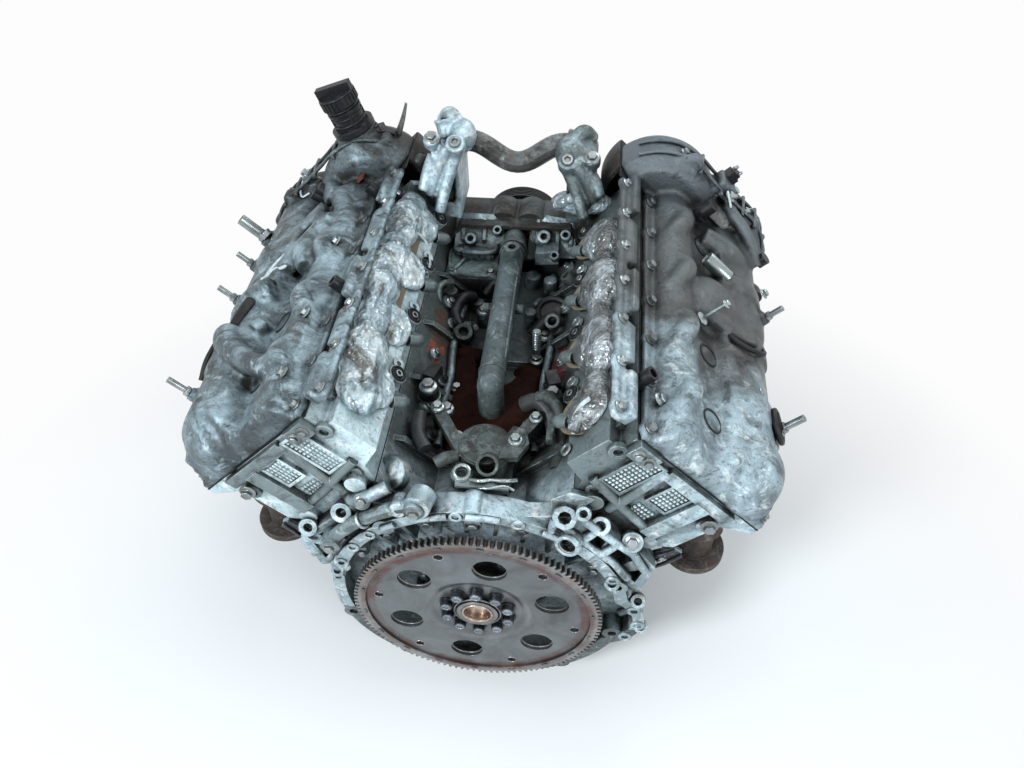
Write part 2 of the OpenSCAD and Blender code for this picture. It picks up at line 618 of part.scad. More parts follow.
// Framed pads on the rear face: [v, height above the joint, width, length along the bore]
rear_pads = [[-74, 44, 36, 70], [-14, 60, 36, 54]];
pad_h = 6;
stud_us = [port_u - 26, port_u + 22];
module cylinder_head(side) bank(side) difference() {
    union() {
        along_y(head_y0, front_y - head_y0) polygon(rounded(head_outline(), 2, 2));
        for (i = [0 : pair_count - 1]) translate([intake_face_v + 8, cyl_y(side, i) + 36, head_u + 34])
            rotate([0, -90, 0]) cylinder(r = 12, h = 12);
        // manifold screw bosses between the intake ports
        for (i = [0 : pair_count - 2]) for (u = stud_us)
            translate([intake_face_v + 2, cyl_y(side, i) + bore_pitch / 2, u]) rotate([0, -90, 0])
                cylinder(r = 8, h = 5);
        for (p = rear_pads) translate([p[0], head_y0 - pad_h, head_u + p[1]]) cube([p[2], pad_h + 1, p[3]]);
        translate([-50, head_y0 - 10, head_u + 15]) rotate([-90, 0, 0]) cylinder(r = 13, h = 12);
        translate([48, head_y0 - 10, head_u + 14]) rotate([-90, 0, 0]) cylinder(r = 11, h = 12);
    }
    // cam chambers between the bearing walls
    for (i = [0 : pair_count - 1]) translate([cover_in_v + 8, bearing_y1(side, i), cam_u - 32])
        cube([cover_out_v - cover_in_v - 16, bore_pitch - bearing_w, 40]);
    for (v = [intake_cam_v, exhaust_cam_v]) translate([v, 0, cam_u])
        rod_y(head_y0 + 5, front_y - head_y0, cam_r + run_gap);
    for (i = [0 : pair_count - 1]) {
        translate([intake_face_v - 1, cyl_y(side, i), port_u]) rotate([0, 90, 0])
            cylinder(r = port_r, h = 56);
        translate([exhaust_face_v + 1, cyl_y(side, i), head_u + 44]) rotate([0, -90, 0])
            cylinder(r = 18, h = 50);
        translate([plug_v, cyl_y(side, i), plug_u]) cylinder(r = plug_tube_r + 0.1, h = 120);
        translate([0, cyl_y(side, i), head_u - 1])
            cylinder(r1 = bore_d / 2 - 2, r2 = bore_d / 2 - 14, h = 13);
        translate([intake_face_v - 5, cyl_y(side, i) + 36, head_u + 34]) rotate([0, 90, 0])
            cylinder(r = 7, h = 24);
    }
    for (p = rear_pads) translate([p[0] + 4, head_y0 - pad_h - 1, head_u + p[1] + 4])
        cube([p[2] - 8, 4, p[3] - 8]);
    for (i = [0 : pair_count - 2]) for (u = stud_us)
        translate([intake_face_v + 10, cyl_y(side, i) + bore_pitch / 2, u]) rotate([0, -90, 0])
            cylinder(r = 3.4, h = 20, $fn = 24);
}
plug_v = -8;
plug_u = cam_u - 30;
module left_cylinder_head() color("#98a5ab") cylinder_head(-1);
module right_cylinder_head() color("#93a0a6") cylinder_head(1);
module head_gasket(side) bank(side) difference() {
    translate([-deck_in, head_y0, deck_height])
        cube([deck_in + deck_out - 4, front_y - head_y0, head_gasket_t]);
    for (i = [0 : pair_count - 1]) translate([0, cyl_y(side, i), deck_height - 1])
        cylinder(r = bore_d / 2 + 1, h = 4, $fn = 64);
}
module left_head_gasket() color("#4b4f50") head_gasket(-1);
module right_head_gasket() color("#4b4f50") head_gasket(1);

// ---------- camshafts ----------
lobe_lift = 8;
lobe_r = 15;
module camshaft(side, v, phase) bank(side) translate([v, 0, cam_u]) {
    rod_y(head_y0 + 5 + side_gap, front_y + 10 - head_y0 - 5 - side_gap, cam_r - 3);
    for (i = [0 : pair_count]) rod_y(bearing_y0(side, i), bearing_y1(side, i) - bearing_y0(side, i), cam_r);
    for (i = [0 : pair_count - 1]) for (s = [-1, 1]) {
        along_y(cyl_y(side, i) + s * 24 - 7, 14) rotate(phase + i * 90) {
            circle(lobe_r);
            translate([lobe_lift + 4, 0]) circle(lobe_r - 4);
            polygon([[0, lobe_r], [lobe_lift + 4, lobe_r - 4], [lobe_lift + 4, 4 - lobe_r], [0, -lobe_r]]);
        }
    }
    rod_y(front_y + 9, 8, 24);
    along_y(front_y + 17, 9)
        polygon([for (i = [0 : 79]) (i % 2 == 0 ? phaser_r - 1 : phaser_r - 6)
            * [cos(i * 4.5), sin(i * 4.5)]]);
    rod_y(front_y + 26, 22, phaser_r - 8);
    rod_y(front_y + 48, 5, 14);
}
module left_intake_camshaft() color("#6d7072") camshaft(-1, intake_cam_v, 20);
module left_exhaust_camshaft() color("#6d7072") camshaft(-1, exhaust_cam_v, 110);
module right_intake_camshaft() color("#6d7072") camshaft(1, intake_cam_v, 200);
module right_exhaust_camshaft() color("#6d7072") camshaft(1, exhaust_cam_v, 290);
module cam_caps(side) bank(side) for (v = [intake_cam_v, exhaust_cam_v]) for (i = [0 : pair_count])
    translate([v, bearing_y0(side, i), cam_u]) difference() {
        along_y(0, bearing_y1(side, i) - bearing_y0(side, i))
            polygon([[-26, 0], [26, 0], [26, 9], [16, 22], [-16, 22], [-26, 9]]);
        rod_y(-1, bearing_w + 2, cam_r + run_gap);
    }
module left_cam_caps() color("#8f979a") cam_caps(-1);
module right_cam_caps() color("#8f979a") cam_caps(1);

// ---------- valve covers ----------
// The exhaust side of the right cover is lower than that of the left by this much
right_drop = 15;
function drop(side) = side > 0 ? right_drop : 0;
function cover_outline(side) = [[cover_in_v, cover_u - 14], [cover_in_v, cover_u + 18], [-66, cover_u + 36],
    [-40, cover_u + 40], [-20, cover_u + 28], [4, cover_u + 30], [16, cover_u + 62 - drop(side)],
    [60, cover_u + 76 - drop(side)], [90, cover_u + 66 - drop(side)],
    [cover_out_v, cover_u + 38 - drop(side)],
    [cover_out_v, cover_u - 14]];
function cover_side() = [[head_y0 - 1, cover_u - 14], [head_y0 - 1, cover_u + 26],
    [head_y0 + 30, cover_u + 66],
    [head_y0 + 60, cover_u + 90], [front_y + 20, cover_u + 90], [front_y + 20, cover_u - 14]];
module cover_hull(side, d) {
    intersection() {
        along_y(head_y0 - 10, front_y + 30 - head_y0)
            polygon(rounded(inset(cover_outline(side), d), cover_round, 5));
        translate([-150, 0, 0]) along_x(0, 300)
            polygon(rounded(inset(cover_side(), d), cover_round, 5));
    }
}
module dome_shell(d) {
    for (v = [dome_in_v, dome_ex_v]) translate([v, 0, dome_u]) {
        rod_y(front_y - 16 + d, 18, dome_r - 16 - d, dome_r - d);
        rod_y(front_y + 2 + d, 46 - d, dome_r - d);
        rod_y(front_y + 48, cover_front_y - front_y - 48 - d, dome_r - d, dome_r - 12 - d);
    }
}
module above_cover_joint(u) {
    translate([-300, 0, u]) cube([600, 700, 200]);
}
module valve_cover(side) bank(side) difference() {
    union() {
        intersection() {
            union() {
                cover_hull(side, 0);
                dome_shell(0);
            }
            above_cover_joint(cover_u);
        }
        translate([cover_in_v - flange_w, head_y0 - 1, cover_u])
            cube([cover_out_v - cover_in_v + 2 * flange_w, front_y - head_y0 - 20, 8]);
        for (i = [0 : 6]) for (v = [cover_in_v - bolt_v, cover_out_v + bolt_v])
            translate([v, cover_bolt_y(i), cover_u]) cylinder(r = 9, h = 10);
        // raised bands across the exhaust tunnel
        for (i = [0 : 2]) intersection() {
            along_y(cyl_y(side, i) + bore_pitch / 2 - 15, 30)
                polygon(rounded(inset(cover_outline(side), -4), cover_round, 5));
            translate([12, 0, cover_u + 20]) cube([200, 600, 100]);
        }
        for (s = stud_list) if (s[0] == side) translate([stud_v, s[1], stud_u(side) - 34])
            cylinder(r = s[2] + 5, h = 34);
        if (side < 0) at_filler() translate([0, 0, -26]) cylinder(r = filler_r + 9, h = 26);
        translate([sensor_v, sensor_y, cover_u + 18]) cylinder(r = 13, h = sensor_h - 18);
    }
    if (side < 0) at_filler() translate([0, 0, -60]) cylinder(r = filler_r - 4, h = 61);
    translate([sensor_v, sensor_y, cover_u + 5]) cylinder(r = 8, h = 40);
    intersection() {
        union() {
            cover_hull(side, cover_wall);
            dome_shell(cover_wall);
        }
        above_cover_joint(cover_u - 1);
    }
    for (i = [0 : pair_count - 1]) translate([plug_v, cyl_y(side, i), cover_u - 1])
        cylinder(r = plug_tube_r + side_gap, h = 120);
}
function cover_bolt_y(i) = head_y0 + 12 + i * (front_y - head_y0 - 56) / 6;
module left_valve_cover() color("#7d8a90") valve_cover(-1);
module right_valve_cover() color("#8494a0") valve_cover(1);
module cover_gasket(side) bank(side) difference() {
    union() {
        translate([cover_in_v - flange_w, head_y0, cam_u])
            cube([cover_out_v - cover_in_v + 2 * flange_w, front_y - head_y0 - 21, cover_gasket_t]);
        intersection() {
            for (v = [dome_in_v, dome_ex_v]) translate([v, 0, dome_u])
                rod_y(front_y - 22, cover_front_y - front_y + 22, dome_r - 1);
            translate([-300, 0, cam_u]) cube([600, 700, cover_gasket_t]);
        }
    }
    translate([cover_in_v + 8, head_y0 + 5, cam_u - 1])
        cube([cover_out_v - cover_in_v - 16, front_y - head_y0 - 3, cover_gasket_t + 2]);
    translate([dome_in_v - dome_r + 8, front_y - 4, cam_u - 1])
        cube([dome_ex_v - dome_in_v + 2 * dome_r - 16, cover_front_y - front_y - 4, cover_gasket_t + 2]);
}
module left_cover_gasket() color("#1d1f20") cover_gasket(-1);
module right_cover_gasket() color("#1d1f20") cover_gasket(1);
module cover_bolts() color("#b9bfc1") for (side = [-1, 1]) bank(side) for (i = [0 : 6])
    for (v = [cover_in_v - bolt_v, cover_out_v + bolt_v])
        translate([v, cover_bolt_y(i), cover_u + 10]) bolt_head(5.2);
module plug_tubes() color("#3a3d3f") for (side = [-1, 1]) bank(side) for (i = [0 : pair_count - 1])
    translate([plug_v, cyl_y(side, i), plug_u]) difference() {
        cylinder(r = plug_tube_r, h = 66);
        translate([0, 0, 4]) cylinder(r = plug_tube_r - 2.5, h = 70);
    }
// Studs and a stub pipe that stand on the bosses of the outer shoulders: [side, y, radius, length]
stud_list = [[-1, 436, 8, 42], [-1, 118, 4, 30], [-1, 296, 4, 26], [-1, 372, 4, 24], [1, 131, 4.5, 30],
    [1, 330, 4, 24]];
stud_v = 92;
function stud_u(side) = cover_u + 76 - drop(side);
module cover_studs() color("#aeb5b5") for (s = stud_list) bank(s[0])
    translate([stud_v, s[1], stud_u(s[0])]) {
    cylinder(r = s[2] + 2.5, h = 5, $fn = 6);
    difference() {
        cylinder(r = s[2], h = s[3], $fn = 32);
        if (s[2] > 6) translate([0, 0, 6]) cylinder(r = s[2] - 2, h = s[3], $fn = 32);
    }
}

// ---------- intake side ----------
intake_gasket_t = 1.5;
module intake_gasket(side) bank(side) difference() {
    union() for (i = [0 : pair_count - 1]) translate([intake_face_v, cyl_y(side, i), port_u])
        rotate([0, -90, 0]) {
        cylinder(r = port_r + 9, h = intake_gasket_t);
        if (i < pair_count - 1) translate([-8, 0, 0]) cube([16, bore_pitch, intake_gasket_t]);
    }
    for (i = [0 : pair_count - 1]) translate([intake_face_v - 5, cyl_y(side, i), port_u]) rotate([0, 90, 0])
        cylinder(r = port_r, h = 10);
}
module left_intake_gasket() color("#b09a78") intake_gasket(-1);
module right_intake_gasket() color("#b09a78") intake_gasket(1);
mask_bulge = 18;
mask_r = port_r + 11;
module port_masks(side) bank(side) for (i = [0 : pair_count - 1])
    translate([intake_face_v - intake_gasket_t, cyl_y(side, i), port_u]) rotate([0, -90, 0])
        rotate_extrude()
            polygon([[0, 0], for (k = [0 : 6]) [mask_r * cos(15 * k), mask_bulge * sin(15 * k)]]);
module left_port_masks() color("#c9dbe6") port_masks(-1);
module right_port_masks() color("#b4bcc0") port_masks(1);

// ---------- exhaust side ----------
log_v = exhaust_face_v + 38;
log_u = head_u + 36;
log_y0 = 66;
log_len = 372;
log_r = 27;
log_wall = 5;
down_y = 92;
down_len = 80;
down_r = 19;
module at_downpipe() {
    translate([log_v, down_y, log_u]) rotate([0, 180 - half_bank, 0]) children();
}
module exhaust_manifold(side) bank(side) difference() {
    union() {
        for (i = [0 : pair_count - 1]) translate([exhaust_face_v, cyl_y(side, i), head_u + 44])
            rotate([0, 90, 0]) {
                cylinder(r = 31, h = 10);
                translate([0, 0, 9]) cylinder(r = 23, h = 20);
            }
        translate([log_v, 0, log_u]) rod_y(log_y0, log_len, log_r);
        at_downpipe() {
            cylinder(r = down_r + log_wall, h = down_len - 4);
            translate([0, 0, down_len - 10]) cylinder(r = down_r + 21, h = 10);
        }
    }
    for (i = [0 : pair_count - 1]) translate([exhaust_face_v - 1, cyl_y(side, i), head_u + 44])
        rotate([0, 90, 0]) cylinder(r = 17, h = 30);
    translate([log_v, 0, log_u]) rod_y(log_y0 + log_wall, log_len - 2 * log_wall, log_r - log_wall);
    at_downpipe() cylinder(r = down_r, h = down_len + 1);
}
module left_exhaust_manifold() color("#54463d") exhaust_manifold(-1);
module right_exhaust_manifold() color("#54463d") exhaust_manifold(1);

// ---------- coolant ----------
cross_y = 540;
// x of the bank's intake face at height z
function intake_x(z) = z + intake_face_v / q;
outlet_z = wz(head_u + 23.7, intake_face_v);
cross_ends = intake_x(outlet_z) - 24;
cross_z = outlet_z + 89;
cross_sag = 33;
dome_gap = 2;
module at_hose() {
    translate([cross_ends + 20, cross_y - 14, outlet_z + 102]) rotate([-24, 14, 0]) children();
}
module coolant_outlet(side) mirror([side < 0 ? 1 : 0, 0, 0]) difference() {
    union() {
        along_y(front_y - 19, 86) translate([cross_ends, outlet_z]) polygon([[0, 0], [28, 4], [42, 18],
            [41, 32], [41, 84], [32, 96], [16, 104], [4, 104], [0, 96]]);
        if (side < 0) at_hose() {
            cylinder(r = 15, h = 26);
            translate([0, 0, 22]) cylinder(r = 17, h = 4);
        }
        translate([cross_ends + 16, front_y - 14, outlet_z + 103]) cylinder(r = 9, h = 9);
        translate([cross_ends - 3, cross_y, cross_z]) rotate([0, 90, 0])
            cylinder(r = cross_pipe_r + 6, h = 5);
    }
    translate([cross_ends - 4, cross_y, cross_z]) rotate([0, 90, 0]) cylinder(r = cross_pipe_r - 2, h = 24);
    if (side < 0) at_hose()
        translate([0, 0, 4]) cylinder(r = 12, h = 40);
    translate([cross_ends + 8, front_y - 20, outlet_z + 28]) cube([24, 12, 46]);
    // clear of the dome of the timing cover
    translate([wx(dome_u, dome_in_v), 0, wz(dome_u, dome_in_v)])
        rod_y(front_y - 2, cover_front_y - front_y + 2, dome_r + dome_gap);
}
module left_coolant_outlet() color("#9fb4c0") coolant_outlet(-1);
module right_coolant_outlet() color("#8a979d") coolant_outlet(1);
cross_len = 2 * cross_ends - 6;
function cross_points() = concat([[-cross_len / 2, cross_y, cross_z]],
    [for (k = [0 : 20]) let (s = k / 20, x = (cross_len - 8) * (s - 0.5))
        [x, cross_y, cross_z - cross_sag * pow(sin(180 * s), 2)]], [[cross_len / 2, cross_y, cross_z]]);
module crossover_pipe() color("#75706a") swept(cross_points(), cross_pipe_r, 14);
valley_pipe_z = 214;
valley_pipe_y = 184;
// The pipe stands on the floor of the pool
pipe_foot_z = valley_z - pool_depth;
module valley_pipe() color("#77868c") {
    difference() {
        union() {
            translate([0, 0, valley_pipe_z]) rod_y(valley_pipe_y, front_y - valley_pipe_y, valley_pipe_r);
            translate([0, valley_pipe_y, pipe_foot_z])
                cylinder(r = valley_pipe_r, h = valley_pipe_z - pipe_foot_z);
            translate([0, valley_pipe_y, valley_pipe_z]) sphere(r = valley_pipe_r);
            translate([0, valley_pipe_y, pipe_foot_z]) cylinder(r = valley_pipe_r + 7, h = 8);
            translate([0, 0, valley_pipe_z]) rod_y(front_y - 30, 6, valley_pipe_r + 3);
            translate([2, 430, valley_pipe_z]) cylinder(r = 11, h = valley_pipe_r + 14);
        }
        translate([2, 430, valley_pipe_z + 6]) cylinder(r = 6, h = 40);
    }
}
// Bosses on the valley walls that carry the arms: [x, y, height above the valley floor]
post_list = [[-64, 150, 17], [62, 140, 15], [84, 146, 38]];
arm_z = valley_z + 44;
module arm(post, end_x, end_y) {
    hull() {
        translate([post[0], post[1], arm_z]) cylinder(r = 8, h = 12, $fn = 32);
        translate([end_x, end_y, arm_z]) cylinder(r = 7, h = 12, $fn = 32);
    }
    translate([post[0], post[1], valley_z + post[2]]) cylinder(r = 7, h = arm_z - valley_z - post[2] + 1);
}
nozzle_r = 10;
nozzle_len = 46;
module at_nozzle() {
    translate([12, 88, valley_z + 30]) rotate([45, 0, 0]) children();
}
module rear_coolant_housing() color("#8b989d") difference() {
    union() {
        translate([4, 92, valley_z]) cylinder(r = 27, h = 48);
        translate([4, 92, valley_z + 47]) cylinder(r = 33, h = 9);
        translate([-34, 66, valley_z]) cube([72, 46, 14]);
        at_nozzle() cylinder(r = nozzle_r + 3.5, h = nozzle_len);
        arm(post_list[0], -20, 78);
        arm(post_list[1], 26, 78);
    }
    at_nozzle() translate([0, 0, nozzle_len - 31]) cylinder(r = nozzle_r, h = 32);
}
// Flat strap with its eye across the back of the housing
eye_z = 46;
eye_x = -18;
module lifting_eye() color("#9ba6aa") translate([0, 32, valley_z + eye_z]) {
    difference() {
        union() {
            translate([eye_x - 6, 0, 0]) cube([64, 12, 4]);
            translate([eye_x, 18, 0]) cylinder(r = 13, h = 5);
        }
        translate([eye_x, 18, -1]) cylinder(r = 6, h = 8);
    }
    translate([30, 2, -eye_z]) cube([8, 8, eye_z + 1]);
}
// Hooked bracket on the right valley wall and the clip beside the oil plate on the left
module valley_brackets() color("#87949a") {
    translate([post_list[2][0], post_list[2][1], valley_z + post_list[2][2]]) {
        cylinder(r = 7, h = 20);
        translate([-6, -44, 14]) cube([8, 44, 6]);
        translate([-6, -44, 14]) cube([8, 6, 22]);
        translate([-6, -54, 30]) cube([8, 14, 6]);
    }
    translate([-83, front_y - plate_len - 34, valley_z + 36]) {
        cylinder(r = 9, h = 8);
        translate([-5, -4, 7]) cube([10, 8, 18]);
    }
}
knock_x = 80;
knock_y = 181;
knock_h = 41;
module knock_sensors() color("#1b1c1d") for (s = [-1, 1])
    translate([s * knock_x, knock_y, valley_z + knock_h]) {
        cylinder(r = 13, h = 13);
        translate([0, 0, 13]) cylinder(r = 7, h = 8, $fn = 6);
    }
plate_x0 = -96;
plate_w = 74;
plate_len = 70;
plate_z = 190;
module valley_plate() color("#6e7f80") translate([plate_x0, front_y - plate_len, plate_z]) difference() {
    cube([plate_w, plate_len - side_gap, 6]);
    for (x = [8, plate_w - 8]) for (y = [8, plate_len - 8]) translate([x, y, -1])
        cylinder(r = 3.2, h = 8, $fn = 24);
}

// Pipe that follows the top of the bell-housing rim from the left to the coolant housing
breather_r = 212;
breather_tube_r = 9;
breather_y = web_y0 - breather_tube_r;
function breather_points() = [for (k = [0 : 12]) let (a = 146 - k * 3.2)
    [breather_r * cos(a), breather_y, breather_r * sin(a)]];
module breather_pipe() color("#8d999d") {
    swept(breather_points(), breather_tube_r, 12);
    for (k = [0, 12]) translate(breather_points()[k])
        rod_y(-breather_tube_r - 3, 2 * breather_tube_r + 3, 12);
}

// ---------- small parts ----------
// The filler stands on the intake dome, leaning this far inwards from the bore axis
filler_lean = 25;
module at_filler() translate([dome_in_v, front_y + 36, dome_u]) rotate([0, -filler_lean, 0])
    translate([0, 0, dome_r + 6]) children();
module oil_filler_neck() color("#26282a") bank(-1) at_filler() difference() {
    union() {
        cylinder(r = filler_r + 9, h = 8);
        cylinder(r = filler_r, h = 40);
        translate([0, 0, 30]) cylinder(r = filler_r + 3, h = 4);
    }
    translate([0, 0, -1]) cylinder(r = filler_r - 4, h = 50);
}
module oil_filler_cap() color("#17181a") bank(-1) at_filler() {
    translate([0, 0, 40]) cylinder(r = filler_r + 4, h = 16);
    translate([0, 0, 34]) cylinder(r = filler_r - 4 - side_gap, h = 8);
    translate([-filler_r - 4, -6, 55]) cube([2 * filler_r + 8, 12, 14]);
}
sensor_v = -24;
sensor_y = front_y - 34;
sensor_h = 42;
module cam_sensors() color("#1f2427") {
    for (s = [-1, 1]) bank(s) translate([sensor_v, sensor_y, cover_u + sensor_h]) {
        cylinder(r = 10, h = 26);
        translate([0, 0, -8]) cylinder(r = 8 - run_gap, h = 9);
        translate([-4, -16, 0]) cube([8, 16, 5]);
    }
}
stub_v = (intake_face_v + cover_in_v - flange_w) / 2 - 1;
module stub_tubes() color("#35393b") {
    for (p = [[-1, 222], [-1, 424], [1, 96]]) bank(p[0])
        translate([stub_v, p[1], shoulder_u]) difference() {
        cylinder(r = 8.5, h = 54);
        translate([0, 0, 30]) cylinder(r = 5.5, h = 30);
    }
}
module rear_plates() color("#3c4447") for (s = [-1, 1]) mirror([s < 0 ? 1 : 0, 0, 0])
    along_y(bell_depth - 1, 5) polygon([[205, 62], [250, 102], [240, 111], [208, 92]]);
mount_y = (main_ys[1] + main_ys[2]) / 2;
mount_z = -16;
module mount_brackets() color("#7a8488") for (s = [-1, 1]) mirror([s < 0 ? 1 : 0, 0, 0]) {
    difference() {
        union() {
            translate([skirt_half, mount_y - 42, mount_z]) cube([12, 84, 58]);
            translate([skirt_half + 11, mount_y - 32, mount_z]) cube([62, 64, 14]);
            along_y(mount_y - 7, 14) polygon([[skirt_half + 11, mount_z + 12],
                [skirt_half + 70, mount_z + 12], [skirt_half + 11, mount_z + 56]]);
        }
        for (y = [mount_y - 30, mount_y + 30]) translate([skirt_half - 1, y, mount_z + 40])
            rotate([0, 90, 0]) cylinder(r = 5.5, h = 14);
        translate([skirt_half + 52, mount_y, mount_z - 1]) cylinder(r = 6.5, h = 16);
    }
}

cylinder_block();
main_bearing_caps();
main_bearings();
rear_seal_retainer();
crankshaft();
hub_spacer();
flexplate();
ring_gear();
flexplate_bolts();
crank_sprocket();
crank_pulley();
pulley_bolt();
pistons();
upper_oil_pan();
lower_oil_pan();
drain_plug();
pan_bolts();
timing_cover();
timing_cover_bolts();
water_pump();
pump_pulley();
left_cylinder_head();
right_cylinder_head();
left_head_gasket();
right_head_gasket();
left_valve_cover();
right_valve_cover();
left_cover_gasket();
right_cover_gasket();
cover_bolts();
plug_tubes();
cover_studs();
breather_pipe();
left_intake_camshaft();
left_exhaust_camshaft();
right_intake_camshaft();
right_exhaust_camshaft();
left_cam_caps();
right_cam_caps();
left_port_masks();
right_port_masks();
left_intake_gasket();
right_intake_gasket();
left_exhaust_manifold();
right_exhaust_manifold();
left_coolant_outlet();
right_coolant_outlet();
crossover_pipe();
valley_pipe();
rear_coolant_housing();
lifting_eye();
valley_brackets();
knock_sensors();
valley_plate();
oil_filler_neck();
oil_filler_cap();
cam_sensors();
stub_tubes();
rear_plates();
mount_brackets();
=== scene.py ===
import json
import math
import random

import bmesh
import bpy
from mathutils import Matrix, Vector, noise


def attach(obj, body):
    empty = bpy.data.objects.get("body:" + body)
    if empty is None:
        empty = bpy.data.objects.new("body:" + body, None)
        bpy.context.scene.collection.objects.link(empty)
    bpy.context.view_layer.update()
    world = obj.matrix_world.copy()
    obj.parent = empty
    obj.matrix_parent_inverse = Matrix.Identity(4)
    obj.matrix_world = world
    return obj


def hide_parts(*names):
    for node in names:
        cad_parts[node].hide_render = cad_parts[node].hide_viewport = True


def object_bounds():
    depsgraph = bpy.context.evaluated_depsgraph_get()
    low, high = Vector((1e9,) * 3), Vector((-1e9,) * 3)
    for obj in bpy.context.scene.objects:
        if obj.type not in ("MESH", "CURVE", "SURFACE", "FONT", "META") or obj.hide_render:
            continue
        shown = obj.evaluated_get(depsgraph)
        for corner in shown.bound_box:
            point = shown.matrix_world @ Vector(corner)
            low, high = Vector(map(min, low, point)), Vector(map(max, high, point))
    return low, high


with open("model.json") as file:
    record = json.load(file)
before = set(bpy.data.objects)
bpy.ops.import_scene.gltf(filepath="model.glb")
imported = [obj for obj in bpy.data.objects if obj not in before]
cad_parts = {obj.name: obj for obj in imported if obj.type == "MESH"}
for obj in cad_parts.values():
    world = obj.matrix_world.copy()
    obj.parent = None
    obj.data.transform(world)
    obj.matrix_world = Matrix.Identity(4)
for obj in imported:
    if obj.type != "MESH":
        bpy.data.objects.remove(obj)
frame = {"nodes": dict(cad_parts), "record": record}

cad_box = [list(c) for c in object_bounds()]
NODES = frame["nodes"]

# ---------------------------------------------------------------- shader trees


class Field:
    """A number or a colour that varies over a surface. Arithmetic on it adds math nodes to its tree."""

    def __init__(self, tree, socket):
        self.tree = tree
        self.socket = socket

    def calc(self, operation, *values):
        return self.tree.node("ShaderNodeMath", 0, dict(enumerate(values)), operation=operation)

    def __add__(self, other):
        return self.calc("ADD", self, other)

    def __sub__(self, other):
        return self.calc("SUBTRACT", self, other)

    def __rsub__(self, other):
        return self.calc("SUBTRACT", other, self)

    def __mul__(self, other):
        return self.calc("MULTIPLY", self, other)

    def __truediv__(self, other):
        return self.calc("DIVIDE", self, other)

    def ramp(self, *stops):
        n = self.tree.nodes.new("ShaderNodeValToRGB")
        elements = n.color_ramp.elements
        for _ in stops[2:]:
            elements.new(1.0)
        for element, (position, colour) in zip(elements, stops):
            element.position = position
            element.color = (*colour, 1.0)
        self.tree.feed(n.inputs["Fac"], self)
        return Field(self.tree, n.outputs["Color"])

    def rise(self, lo, hi):
        """0 where the field is below lo, 1 where it is above hi."""
        return self.ramp((lo, (0, 0, 0)), (hi, (1, 1, 1)))

    def along(self, axis):
        return self.tree.node("ShaderNodeSeparateXYZ", axis, {0: self})


def larger(first, second):
    return first.calc("MAXIMUM", first, second)


def smaller(first, second):
    return first.calc("MINIMUM", first, second)


